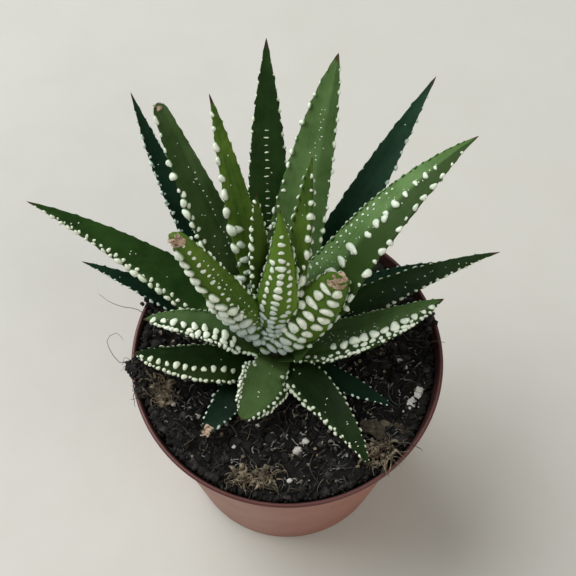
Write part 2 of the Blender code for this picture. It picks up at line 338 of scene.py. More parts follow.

# %% [markdown]
# ### Leaf flesh
# Haworthia skin is waxy: a deep green with paler patches, faint lines that run along the leaf, and a dark
# brown point. The foot where it clasps the stem is painted darker and duller, as painted shade where the feet
# crowd round the stem. The group reads values painted on each leaf: `along`, from 0 at the stem to 1 at the
# point, `across`, the millimetres from the midrib, and `under`, which is 1 on the keeled back and also carries
# painted shade on a side that folds down. A tone, one number per leaf, is for the darker and lighter leaves
# of a set, and on some lower leaves it is lowered as painted shade.

# %% Group: leaf flesh
leaf_flesh, given, gives = new_group(
    "leaf_flesh",
    [("Place", "Vector", None), ("Along", "Float", 0.5), ("Across", "Float", 0.0), ("Tone", "Float", 1.0),
     ("Under", "Float", 0.0),
     ("Deep", "Color", (0, 0, 0, 1)), ("Fresh", "Color", (1, 1, 1, 1)), ("Back", "Color", (1, 1, 1, 1)),
     ("Foot", "Color", (0, 0, 0, 1)), ("Point", "Color", (0, 0, 0, 1))],
    [("Colour", "Color"), ("Rough", "Float"), ("Height", "Float")])
lay = node(leaf_flesh, "ShaderNodeCombineXYZ", X=sums(leaf_flesh, "MULTIPLY", given["Across"], 1.6),
           Y=sums(leaf_flesh, "MULTIPLY", given["Along"], 2.5), Z=given["Tone"]).outputs["Vector"]
streaks = spread(leaf_flesh, noise_value(leaf_flesh, lay, 1.0, 3.0), 0.35, 0.65)
soft = use_group(leaf_flesh, mottle, Place=given["Place"], Colour_A=given["Deep"], Colour_B=given["Fresh"],
                 Patch=85.0, Grain=650.0, Grain_Share=0.18)
top = blend_colour(leaf_flesh, sums(leaf_flesh, "MULTIPLY", streaks, 0.28), soft["Colour"], given["Fresh"])
# The keeled back in its own colour; where a side folds down, the same colour is painted shade
flesh = blend_colour(leaf_flesh, sums(leaf_flesh, "MULTIPLY", given["Under"], 0.88), top, given["Back"])
# The per-leaf tone; on some lower leaves it is lowered as painted shade
toned_and_shaded = blend_colour(leaf_flesh, 1.0, flesh, node(
    leaf_flesh, "ShaderNodeCombineColor", Red=given["Tone"], Green=given["Tone"], Blue=given["Tone"]).outputs["Color"],
    "MULTIPLY")
# Painted shade at the foot, where the leaves crowd round the stem
foot_shaded = blend_colour(leaf_flesh, spread(leaf_flesh, given["Along"], 0.04, 0.22, 0.85, 0.0), toned_and_shaded, given["Foot"])
ragged = sums(leaf_flesh, "ADD", given["Along"], spread(
    leaf_flesh, noise_value(leaf_flesh, given["Place"], 420.0), 0.3, 0.7, -0.012, 0.012))
pointed = blend_colour(leaf_flesh, spread(leaf_flesh, ragged, 0.955, 0.985), foot_shaded, given["Point"])
feed(leaf_flesh, gives["Colour"], pointed)
feed(leaf_flesh, gives["Rough"],
     spread(leaf_flesh, noise_value(leaf_flesh, given["Place"], 260.0), 0.3, 0.7, 0.48, 0.68))
feed(leaf_flesh, gives["Height"], sums(leaf_flesh, "ADD", use_group(
    leaf_flesh, grit, Place=given["Place"], Scale=700.0)["Height"], sums(leaf_flesh, "MULTIPLY", streaks, 0.5)))
print("group", leaf_flesh.name)


# %% Leaf materials
def leaf_material(name, deep, fresh, back, foot, point):
    """Waxy skin over juicy flesh, with little gloss and a little light inside."""
    material, tree, shader = new_material(name)
    out = use_group(tree, leaf_flesh, Place=object_place(tree), Along=painted(tree, "along"),
                    Across=painted(tree, "across"), Tone=painted(tree, "tone"), Under=painted(tree, "under"),
                    Deep=deep, Fresh=fresh, Back=back, Foot=foot, Point=point)
    dress(tree, shader, out["Colour"], out["Rough"], out["Height"], 0.12 * MM, 0.6, gloss=0.1)
    glow_inside(shader, 0.08, (0.3 * MM, 0.8 * MM, 0.15 * MM))
    return material


BROWN_POINT = (0.045, 0.022, 0.014, 1)
RED_POINT = (0.05, 0.012, 0.016, 1)
# Each finish: deep and fresh greens, the back (also painted shade on folds), the foot (painted shade) and the point
LEAF_FINISHES = {
    "sea": leaf_material("leaf_sea_green", (0.003, 0.017, 0.008, 1), (0.009, 0.036, 0.016, 1),
                         (0.012, 0.038, 0.014, 1), (0.004, 0.013, 0.005, 1), BROWN_POINT),
    "dark": leaf_material("leaf_dark_green", (0.006, 0.024, 0.003, 1), (0.020, 0.055, 0.008, 1),
                          (0.030, 0.062, 0.010, 1), (0.006, 0.014, 0.003, 1), BROWN_POINT),
    "fresh": leaf_material("leaf_fresh_green", (0.060, 0.125, 0.030, 1), (0.125, 0.225, 0.075, 1),
                           (0.022, 0.050, 0.007, 1), (0.022, 0.045, 0.008, 1), BROWN_POINT),
    "young": leaf_material("leaf_young_green", (0.034, 0.082, 0.010, 1), (0.115, 0.200, 0.026, 1),
                           (0.066, 0.125, 0.014, 1), (0.022, 0.048, 0.014, 1), RED_POINT),
}
print("leaf materials:", [m.name for m in LEAF_FINISHES.values()])

# %% [markdown]
# ### Knobs
# The knobs are raised cork-white swellings of the skin. Their tops are chalky and nearly white, and
# each fades into the green at its foot. The mesh carries `rise`, 0 at the foot and 1 on top, so the
# fade follows every knob whatever its size.

# %% Knob material
def knob_material(name, chalk, shade, sky_reflection, foot):
    """Chalky on top, green at its foot, with a painted bluish reflection of the sky low down on the leaf."""
    material, tree, shader = new_material(name)
    place = object_place(tree)
    cap = use_group(tree, mottle, Place=place, Colour_A=chalk, Colour_B=shade, Patch=700.0, Grain=3000.0,
                    Grain_Share=0.3)
    # Painted reflection of the sky on knobs low down on the leaf
    low_down = spread(tree, painted(tree, "along"), 0.12, 0.5, 0.75, 0.0)
    sky_reflected = blend_colour(tree, low_down, cap["Colour"], sky_reflection)
    rise = spread(tree, painted(tree, "rise"), 0.18, 0.7)
    dress(tree, shader, blend_colour(tree, rise, foot, sky_reflected),
          spread(tree, noise_value(tree, place, 900.0), 0.3, 0.7, 0.35, 0.55),
          use_group(tree, grit, Place=place, Scale=1500.0)["Height"], 0.08 * MM, 0.5)
    glow_inside(shader, 0.15, (0.4 * MM, 0.5 * MM, 0.4 * MM))
    return material


# The third colour of each is a painted reflection of the sky, for knobs low down on the leaf
KNOB_FINISHES = {
    "sea": knob_material("knob_grey", (0.62, 0.72, 0.64, 1), (0.40, 0.52, 0.43, 1),
                         (0.28, 0.40, 0.36, 1), (0.03, 0.07, 0.035, 1)),
    "dark": knob_material("knob_pale", (0.78, 0.82, 0.66, 1), (0.52, 0.60, 0.44, 1),
                          (0.54, 0.63, 0.48, 1), (0.05, 0.10, 0.03, 1)),
    "fresh": knob_material("knob_white", (0.84, 0.88, 0.76, 1), (0.56, 0.65, 0.52, 1),
                           (0.50, 0.60, 0.48, 1), (0.07, 0.15, 0.04, 1)),
    "young": knob_material("knob_cream", (0.84, 0.87, 0.74, 1), (0.54, 0.63, 0.50, 1),
                           (0.32, 0.42, 0.42, 1), (0.07, 0.14, 0.03, 1)),
}
print("knob materials:", [m.name for m in KNOB_FINISHES.values()])

# %% [markdown]
# ### Pot, peat, straw and the rest
# The pot is thin moulded polypropylene, terracotta coloured, dull, a little chalky on the wall and
# darker on the rolled lip, with grains of peat stuck to it. Its inside wall is painted shade, a darker copy
# of its colour. Peat is nearly black and quite rough. Dead roots and old leaves are straw coloured. Perlite is chalk
# white.

# %% Pot material
pot_plastic, tree, shader = new_material("terracotta_polypropylene")
place = object_place(tree)
wall = use_group(tree, mottle, Place=place, Colour_A=(0.320, 0.106, 0.068, 1), Colour_B=(0.290, 0.094, 0.060, 1),
                 Patch=28.0, Grain=900.0, Grain_Share=0.08)
level = node(tree, "ShaderNodeSeparateXYZ", Vector=place).outputs["Z"]
lip = spread(tree, level, POT_TOP - 1.7 * MM, POT_TOP - 1.1 * MM)
with_lip = blend_colour(tree, lip, wall["Colour"], (0.085, 0.018, 0.015, 1))
dirt = use_group(tree, specks, Place=place, Scale=520.0, Amount=0.0)["Mask"]
dusty = spread(tree, noise_value(tree, place, 110.0, 3.0), 0.5, 0.85, 0.0, 0.06)
dusted = blend_colour(tree, dusty, with_lip, (0.40, 0.27, 0.22, 1))
dress(tree, shader, blend_colour(tree, dirt, dusted, (0.02, 0.014, 0.01, 1)),
      spread(tree, noise_value(tree, place, 60.0), 0.3, 0.7, 0.40, 0.46),
      use_group(tree, grit, Place=place, Scale=1600.0)["Height"], 0.015 * MM, 0.3)
print("material", pot_plastic.name)


# %% Peat, straw, perlite and floor materials
def rough_material(name, first, second, patch, grit_scale, depth, rough, third=None, third_share=0.3):
    """Any dull natural stuff: two mottled colours, a third in spots, and a gritty surface."""
    material, tree, shader = new_material(name)
    place = object_place(tree)
    colour = use_group(tree, mottle, Place=place, Colour_A=first, Colour_B=second, Patch=patch,
                       Grain=patch * 6, Grain_Share=0.45)["Colour"]
    if third:
        spots = spread(tree, noise_value(tree, place, patch * 2.3, 4.0), 0.52, 0.68, 0.0, third_share)
        colour = blend_colour(tree, spots, colour, third)
    dress(tree, shader, colour, spread(tree, noise_value(tree, place, patch * 3), 0.3, 0.7, rough - 0.12, rough),
          use_group(tree, grit, Place=place, Scale=grit_scale)["Height"], depth, gloss=0.25)
    return material


peat = rough_material("peat", (0.0016, 0.0015, 0.0014, 1), (0.006, 0.0054, 0.0048, 1), 160.0, 800.0, 1.0 * MM, 0.95,
                      (0.018, 0.016, 0.014, 1), 0.45)
crumb_dark = rough_material("peat_crumb", (0.003, 0.003, 0.0028, 1), (0.016, 0.015, 0.0135, 1), 150.0, 1400.0,
                            0.5 * MM, 0.95, (0.06, 0.057, 0.052, 1), 0.6)
root_brown = rough_material("root_fibre", (0.006, 0.0055, 0.005, 1), (0.085, 0.080, 0.072, 1), 120.0, 2500.0,
                            0.1 * MM, 0.8)
shred_grey = rough_material("peat_shred", (0.050, 0.051, 0.050, 1), (0.34, 0.335, 0.31, 1), 150.0, 2000.0,
                            0.1 * MM, 0.8)
# Painted shade for the pot's inside wall: a darker copy of the terracotta
pot_inside = rough_material("pot_inside_painted_shade", (0.020, 0.008, 0.007, 1), (0.050, 0.018, 0.014, 1), 200.0,
                            900.0, 0.1 * MM, 0.7)
straw = rough_material("straw", (0.020, 0.016, 0.011, 1), (0.32, 0.26, 0.18, 1), 190.0, 1800.0, 0.2 * MM, 0.75,
                       (0.07, 0.045, 0.025, 1), 0.7)
old_leaf = rough_material("old_leaf", (0.012, 0.010, 0.007, 1), (0.075, 0.060, 0.040, 1), 200.0, 900.0, 0.5 * MM, 0.8,
                          (0.14, 0.11, 0.075, 1), 0.6)
dry_tip = rough_material("dry_tip", (0.26, 0.17, 0.11, 1), (0.66, 0.50, 0.37, 1), 500.0, 1500.0, 0.4 * MM, 0.75,
                         (0.06, 0.03, 0.018, 1), 0.85)
perlite = rough_material("perlite", (0.62, 0.61, 0.57, 1), (0.40, 0.39, 0.36, 1), 600.0, 2200.0, 0.3 * MM, 0.9)
board = rough_material("pale_board", (0.57, 0.565, 0.53, 1), (0.55, 0.54, 0.50, 1), 9.0, 90.0, 0.1 * MM, 0.6)
floor.data.materials.append(board)
stem_skin = rough_material("stem_skin", (0.012, 0.014, 0.006, 1), (0.03, 0.028, 0.012, 1), 250.0, 900.0, 0.3 * MM, 0.8)
print("dull materials:", [m.name for m in (peat, crumb_dark, root_brown, shred_grey, pot_inside, straw, old_leaf,
                                           dry_tip, perlite, board, stem_skin)])

# %% [markdown]
# ## The pot
# A nursery pot is one thin shell drawn from a mould: a flat foot, a tapered wall, a slightly wider band
# and a rolled lip. It could be lathed from a profile with Spin. Here it is raised like clay: a
# circle is extruded ring by ring, and each new ring is scaled to the radius that the CAD pot has at that
# height. The CAD profile is read first, so the shell lies exactly on it.

# %% A merged copy of a CAD node
def merged_copy(name):
    """A copy of a CAD node, its loose triangles joined at their corners."""
    take(nodes[name])
    bpy.ops.object.duplicate()
    piece = bpy.context.object
    piece.parent = None
    piece.data.materials.clear()
    edit_all()
    bpy.ops.mesh.remove_doubles(threshold=0.01 * MM)
    bpy.ops.object.mode_set(mode="OBJECT")
    return piece


def remove(piece):
    take(piece)
    bpy.ops.object.delete()


def finish_piece(piece, material, slot, *replaced, smooth=None):
    """Last moves for every piece: finish, shading, the node it stands for, and its body. The slot is not used."""
    piece.data.materials.clear()
    piece.data.materials.append(material)
    take(piece)
    if smooth is None:
        bpy.ops.object.shade_smooth()
    else:
        bpy.ops.object.shade_smooth_by_angle(angle=math.radians(smooth))
    let_go()
    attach(piece, "root")
    if replaced:
        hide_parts(*replaced)
    return piece


def triangles(piece):
    return sum(len(p.vertices) - 2 for p in piece.data.polygons)


WALL_FROM = 30  # mm from the axis: nearer points belong to the drain holes
measure = merged_copy("pot")
levels = {}
for corner in measure.data.vertices:
    radius = round(math.hypot(corner.co.x, corner.co.y) / MM, 1)
    levels.setdefault(round(corner.co.z / MM, 2), set()).add(radius)
remove(measure)
outside = [(max(radii), height) for height, radii in sorted(levels.items()) if max(radii) > WALL_FROM]
print("outside of the CAD pot, radius and height in mm:", outside)

# %% [markdown]
# The outside has few heights in CAD, because MuJoCo needs no more. The lip gets a round section here, and
# the band a soft step. The profile is listed as (radius, height) pairs, from the foot up over the lip
# and down inside.

# %% Pot profile
WALL = 1.2 * MM
foot_radius = outside[1][0] * MM
shoulder, collar = outside[3][0] * MM, outside[4][0] * MM
shoulder_z, collar_z = outside[3][1] * MM, outside[4][1] * MM
LIP = 0.62 * MM
FOOT_BEND = 1.6 * MM
lip_centre = (RIM - LIP, POT_TOP - LIP)
pot_profile = [
    (foot_radius - 1.2 * MM, 0.0), (foot_radius - 0.45 * MM, 0.15 * MM), (foot_radius - 0.1 * MM, 0.7 * MM),
    (foot_radius, FOOT_BEND),
]
for share in np.linspace(0.1, 0.9, 9):
    pot_profile.append((foot_radius + (shoulder - foot_radius) * share, FOOT_BEND + (shoulder_z - FOOT_BEND) * share))
pot_profile += [
    (shoulder, shoulder_z - 0.7 * MM), (shoulder + 0.15 * MM, shoulder_z - 0.1 * MM),
    (collar - 0.25 * MM, collar_z - 0.1 * MM), (collar - 0.02 * MM, collar_z + 0.35 * MM),
    (collar + 0.1 * MM, collar_z + 2.4 * MM), (collar + 0.2 * MM, collar_z + 4.2 * MM),
    (collar + 0.25 * MM, POT_TOP - 2 * LIP - 0.15 * MM),
]
for turn in range(-70, 181, 25):
    bend = math.radians(turn)
    pot_profile.append((lip_centre[0] + LIP * math.cos(bend), lip_centre[1] + LIP * math.sin(bend)))
pot_profile += [
    (RIM - 2.3 * LIP, POT_TOP - 2.0 * LIP), (collar - WALL, collar_z), (shoulder - WALL, collar_z - 1.0 * MM),
    (foot_radius - WALL, 2.6 * MM), (foot_radius - WALL - 0.9 * MM, 1.5 * MM),
]
POT_SIDES = 144
bpy.ops.mesh.primitive_circle_add(vertices=POT_SIDES, radius=pot_profile[0][0], location=(0, 0, pot_profile[0][1]))
pot = bpy.context.object
edit_all()
pull_up(pot_profile)
print("pot wall:", len(pot_profile), "rings of", POT_SIDES)

# %% [markdown]
# The inside floor and the underside are closed by scaling in the last ring and filling it. Then six
# round drain holes are cut with cylinders on the circle that the CAD pot has, by Boolean modifiers.

# %% Pot floor and drain holes
def pick_corners(piece, test):
    """In edit mode, select just the corners that pass a test on their place."""
    bpy.ops.mesh.select_all(action="DESELECT")
    bpy.ops.object.mode_set(mode="OBJECT")
    for corner in piece.data.vertices:
        corner.select = test(corner.co)
    for edge in piece.data.edges:
        edge.select = all(piece.data.vertices[i].select for i in edge.vertices)
    for face in piece.data.polygons:
        face.select = all(piece.data.vertices[i].select for i in face.vertices)
    bpy.ops.object.mode_set(mode="EDIT")


for inner, floor_z in ((pot_profile[-1][0], pot_profile[-1][1]), (pot_profile[0][0], 0.0)):
    pick_corners(pot, lambda co: abs(co.z - floor_z) < 0.05 * MM and abs(math.hypot(co.x, co.y) - inner) < 0.05 * MM)
    bpy.ops.mesh.edge_face_add()
face_outwards()
settle(pot, "nursery_pot")

DRAIN_CIRCLE, DRAIN_RADIUS, DRAINS = 18 * MM, 3 * MM, 6
for number in range(DRAINS):
    angle = math.tau * (number + 0.5) / DRAINS
    place = (DRAIN_CIRCLE * math.cos(angle), DRAIN_CIRCLE * math.sin(angle), 0)
    let_go()
    bpy.ops.mesh.primitive_cylinder_add(vertices=32, radius=DRAIN_RADIUS, depth=8 * MM, location=place)
    cutter = bpy.context.object
    take(pot)
    cut = pot.modifiers.new("drain", "BOOLEAN")
    cut.object, cut.operation, cut.solver = cutter, "DIFFERENCE", "EXACT"
    bpy.ops.object.modifier_apply(modifier=cut.name)
    remove(cutter)
finish_piece(pot, pot_plastic, "terracotta_plastic", "pot", smooth=38)
pot.data.materials.append(pot_inside)
# Inward faces above this height take the painted shade of the pot's inside
SHADE_FROM = 4 * MM
for face in pot.data.polygons:
    outward = face.normal.x * face.center.x + face.normal.y * face.center.y
    if outward < -0.3 * math.hypot(face.center.x, face.center.y) and face.center.z > SHADE_FROM:
        face.material_index = 1
print(pot.name, triangles(pot), "triangles,", DRAINS, "drain holes")

# %% [markdown]
# ## The peat
# Potting peat is lumpy at every size. The CAD soil already holds the low hills. A merged copy of it
# is subdivided, banked up against the wall, and pushed by two cloud textures, one for clods and one for
# crumbs. Loose crumbs, roots
# and perlite then lie on top, because no height field can show an overhang.

# %% Lumpy soil
soil = merged_copy("soil")
bpy.ops.object.mode_set(mode="EDIT")
SOCKET = 3.2 * MM
level_top = soil_high[2] - 8 * MM
pick_corners(soil, lambda co: co.z > level_top and math.hypot(co.x - STEM.x, co.y - STEM.y) > SOCKET)
for _ in range(3):
    bpy.ops.mesh.subdivide(number_cuts=1)
settle(soil, "peat_soil")
BANK, BANK_FROM, BANK_WIDE = 3.4 * MM, 0.7, 0.22
top_from = level_top + 3 * MM
top_group = soil.vertex_groups.new(name="top")
for corner in soil.data.vertices:
    from_rim = SOIL_EDGE - math.hypot(corner.co.x, corner.co.y)
    weight = 1.0 if corner.co.z > top_from and from_rim > 0.4 * MM else 0.0
    top_group.add([corner.index], weight, "REPLACE")
for corner in soil.data.vertices:
    reach = math.hypot(corner.co.x, corner.co.y) / SOIL_EDGE
    if corner.co.z > top_from and reach > BANK_FROM:
        bearing = math.atan2(corner.co.y, corner.co.x)
        banked = BANK * (0.72 - 0.28 * math.cos(bearing)) * min((reach - BANK_FROM) / BANK_WIDE, 1) ** 1.5
        corner.co.z += banked * (1 + 0.5 * noise.noise(corner.co * 160))
for label, size, strength in (("clods", 4.6 * MM, 4.6 * MM), ("crumbs", 1.5 * MM, 2.2 * MM)):
    cloud = bpy.data.textures.new(label, "CLOUDS")
    cloud.noise_scale, cloud.noise_depth = size, 3
    push = soil.modifiers.new(label, "DISPLACE")
    push.texture, push.texture_coords, push.direction = cloud, "LOCAL", "Z"
    push.strength, push.mid_level, push.vertex_group = strength, 0.5, "top"
    take(soil)
    bpy.ops.object.modifier_apply(modifier=label)
finish_piece(soil, peat, "peat", "soil")
print(soil.name, triangles(soil), "triangles")


# %% Ground level
ground_tree = BVHTree.FromObject(soil, bpy.context.evaluated_depsgraph_get())


def ground(x, y):
    """Height of the peat under a point; outside the pot, the lip's top."""
    hit = ground_tree.ray_cast(Vector((x, y, 0.2)), Vector((0, 0, -1)))[0]
    return hit.z if hit else POT_TOP


print("peat under the front rim:", round(ground(0, -0.8 * SOIL_EDGE) / MM, 1), "mm")

# %% [markdown]
# ## Leaves
# Each leaf is a fleshy blade: a hollow upper face, a keeled back, a sharp point and a broad foot that clasps
# the stem. The CAD leaf gives eleven cross-sections and a tip. One smooth blank is modelled by extruding
# a circle along Z. Every leaf is a copy of it, laid over its own CAD sections, as a potter presses a
# slab over a form. Modelling each by hand would give the same shape with less control.

# %% The leaf blank
AROUND, STATIONS = 28, 66
bpy.ops.mesh.primitive_circle_add(vertices=AROUND, radius=1, rotation=(0, 0, -math.pi / 2))
blank = settle(bpy.context.object, "leaf_blank")
edit_all()
pull_straight(STATIONS)
face_outwards()
blank_points = corners_of(blank)
print("blank:", len(blank_points), "corners,", len(blank.data.polygons), "faces")


# %% Read a CAD leaf
def cad_sections(name):
    """Sections of a CAD leaf from foot to tip: rings of ten corners found by walking from the tip."""
    copy = merged_copy(name)
    places = [corner.co.copy() for corner in copy.data.vertices]
    beside = {i: set() for i in range(len(places))}
    for edge in copy.data.edges:
        a, b = edge.vertices
        beside[a].add(b)
        beside[b].add(a)
    remove(copy)
    for start in sorted(beside, key=lambda i: -len(beside[i])):
        rings, seen = [[start]], {start}
        while True:
            ring = {j for i in rings[-1] for j in beside[i]} - seen
            if not ring:
                break
            rings.append(sorted(ring))
            seen |= ring
        if len(rings) == 12 and all(len(ring) == 10 for ring in rings[1:]):
            break
    rings.reverse()
    return [[places[i] for i in ring] for ring in rings]


def section_frame(ring, ahead):
    """Centre, left and upper ways, half width, depth and hollow of one section."""
    middle = sum(ring, Vector()) / len(ring)
    forward = (ahead - middle).normalized()
    first = (ring[0] - middle).normalized()
    second = forward.cross(first).normalized()
    ring = sorted(ring, key=lambda p: math.atan2((p - middle).dot(second), (p - middle).dot(first)))
    best = None
    for i in range(10):
        p = ring[i:] + ring[:i]
        uneven = sum(abs((p[a] - p[b]).length - (p[c] - p[d]).length) for a, b, c, d in (
            (0, 1, 4, 3), (0, 2, 4, 2), (0, 9, 4, 5), (0, 8, 4, 6), (0, 7, 4, 7)))
        score = (p[0] - p[4]).length - 20 * uneven
        if best is None or score > best[0]:
            best = (score, p)
    p = best[1]
    centre, half = (p[0] + p[4]) / 2, (p[0] - p[4]).length / 2
    left = (p[0] - p[4]).normalized()
    down = (p[7] - centre).normalized()
    if (-down).dot(forward.cross(left)) < 0:
        left = -left
    return {"centre": centre, "left": left, "up": -down, "half": half,
            "deep": (p[7] - centre).length, "hollow": max((p[2] - centre).dot(down), 0.0)}


SHEATH = 3.2 * MM


def read_leaf(name):
    """All sections of a leaf as arrays: a sheath round the stem first, and the tip last, with no width."""
    rings = cad_sections(name)
    middles = [sum(ring, Vector()) / len(ring) for ring in rings]
    frames = [section_frame(ring, middles[i + 1]) for i, ring in enumerate(rings[:-1])]
    tip = dict(frames[-1], centre=rings[-1][0], half=0.0, deep=0.0, hollow=0.0)
    frames.append(tip)
    toward = (frames[1]["centre"] - frames[0]["centre"]).normalized()
    frames.insert(0, dict(frames[0], centre=frames[0]["centre"] - toward * SHEATH))
    leaf = {key: np.array([tuple(f[key]) if isinstance(f[key], Vector) else f[key] for f in frames])
            for key in tip}
    leaf["length"] = float(np.linalg.norm(np.diff(leaf["centre"], axis=0), axis=1).sum())
    return leaf


cad_leaves = {name: read_leaf(name) for name in LEAVES}
print("longest leaf %.1f mm, widest %.1f mm" % (
    max(leaf["length"] for leaf in cad_leaves.values()) / MM,
    max(leaf["half"].max() for leaf in cad_leaves.values()) * 2 / MM))

# %% [markdown]
# Between the sections, everything follows a smooth curve through them. The CAD leaves are slim at the
# foot, so that the solids stay apart; the real ones are broad there and overlap like roof tiles. So the foot
# is widened here, and its edges are curled up round the stem. Small teeth stand along both edges.

# %% Points on a leaf
FOOT_END = 0.30
FOOT_BROAD = 0.80
SLIDE_END, SLIDE_EASE = 0.75, 1.3
THICK_FROM = 0.35
BLUNT_END = 0.13
TOOTH_PITCH = 3.1 * MM
TOOTH = 0.40 * MM


def smooth_through(rows, t):
    """Catmull-Rom curve through the rows, at positions t counted in rows."""
    last = len(rows) - 1
    i = np.clip(np.floor(t).astype(int), 0, last - 1)
    s = t - i
    if rows.ndim > 1:
        s = s[:, None]
    p0, p1 = rows[np.maximum(i - 1, 0)], rows[i]
    p2, p3 = rows[i + 1], rows[np.minimum(i + 2, last)]
    return 0.5 * (2 * p1 + (p2 - p0) * s + (2 * p0 - 5 * p1 + 4 * p2 - p3) * s ** 2
                  + (3 * p1 - p0 - 3 * p2 + p3) * s ** 3)


def unit(rows):
    return rows / np.maximum(np.linalg.norm(rows, axis=-1, keepdims=True), 1e-12)


def leaf_section(leaf, along):
    """Smooth centre, ways and sizes at shares along the leaf."""
    t = along * (len(leaf["half"]) - 1)
    near_foot = np.clip(1 - along / FOOT_END, 0, 1)
    slid = np.clip(1 - along / SLIDE_END, 0, 1) ** SLIDE_EASE
    centre = smooth_through(leaf["centre"], t) + (np.outer(slid, leaf["slide"]) + leaf["shift"]) * MM
    up = unit(smooth_through(leaf["up"], t))
    left = smooth_through(leaf["left"], t)
    left = unit(left - up * np.sum(left * up, axis=1, keepdims=True))
    c, s = math.cos(math.radians(leaf["roll"])), math.sin(math.radians(leaf["roll"]))
    up, left = up * c - left * s, left * c + up * s
    half = np.maximum(smooth_through(leaf["half"], t), 0)
    deep = np.maximum(smooth_through(leaf["deep"], t), 0)
    hollow = np.maximum(smooth_through(leaf["hollow"], t), 0)
    end = len(leaf["half"]) - 2
    beyond = np.clip(t - end, 0, 1)
    rounded = np.maximum(1 - beyond ** leaf["point_shape"], 0) ** (1 / leaf["point_shape"])
    half = np.where(t > end, leaf["half"][end] * rounded, half)
    deep = np.where(t > end, leaf["deep"][end] * rounded, deep)
    hollow = np.where(t > end, leaf["hollow"][end] * rounded, hollow)
    broad = smooth_through(leaf["half"], np.full(1, FOOT_END * (len(leaf["half"]) - 1)))[0] * leaf["foot"]
    half = np.maximum(half, broad * (1 - (1 - FOOT_BROAD) * near_foot) * (along < FOOT_END))
    thick = smooth_through(leaf["deep"], np.full(1, THICK_FROM * (len(leaf["half"]) - 1)))[0]
    deep = np.where(along < THICK_FROM, np.maximum(deep, thick * (0.55 + 0.45 * along / THICK_FROM)), deep)
    if leaf["blunt"]:
        half = half * np.sqrt(1 - np.clip(1 - along / BLUNT_END, 0, 1) ** 2)
    curl = leaf["curl"] * half * near_foot ** 1.5
    return centre, left, up, half * leaf["broaden"], deep, hollow, curl


def edge_teeth(leaf, along, x):
    """Small soft teeth that stand out from both edges."""
    peak = np.maximum(np.cos(math.tau * along * leaf["length"] / TOOTH_PITCH), 0) ** 2
    near_edge = np.clip((np.abs(x) - 0.8) / 0.2, 0, 1) * np.sign(x)
    return TOOTH * peak * near_edge * np.clip((1 - along) * 7, 0, 1) * np.clip(along * 8 - 1, 0, 1)


def on_leaf(leaf, along, across, under):
    """Points on the skin: across runs from -1 to 1, under is 1 on the keeled back and 0 on the upper face."""
    centre, left, up, half, deep, hollow, curl = leaf_section(leaf, along)
    x = np.clip(across, -1, 1)
    keel = 0.62 * np.sqrt(np.maximum(1 - x ** 2, 0)) + 0.38 * (1 - np.abs(x) ** 1.4)
    height = np.where(under > 0.5, -deep * keel, -hollow * (1 - x ** 2))
    height = height + curl * x ** 2
    if leaf["fold"]:
        past = np.clip((x * np.sign(leaf["fold"]) - abs(leaf["fold"])) / (1 - abs(leaf["fold"])), 0, 1)
        inside = np.clip((along - 0.12) / 0.15, 0, 1) * np.clip((1 - along) / 0.1, 0, 1)
        height = height - leaf["drop"] * half * past ** 1.3 * inside
    return centre + left * (half * x + edge_teeth(leaf, along, x))[:, None] + up * height[:, None]


def leaf_ways(leaf, along, across, under):
    """Point, outward way and the two ways in the skin at places on a leaf."""
    step = 0.004
    point = on_leaf(leaf, along, across, under)
    forward = unit(on_leaf(leaf, np.minimum(along + step, 0.999), across, under)
                   - on_leaf(leaf, np.maximum(along - step, 0), across, under))
    inner, outer = np.clip(across - 0.03, -1, 1), np.clip(across + 0.03, -1, 1)
    sideways = unit(on_leaf(leaf, along, outer, under) - on_leaf(leaf, along, inner, under))
    out = unit(np.cross(forward, sideways)) * np.where(under > 0.5, -1, 1)[:, None]
    return point, out, forward, sideways


print("leaf surface ready")
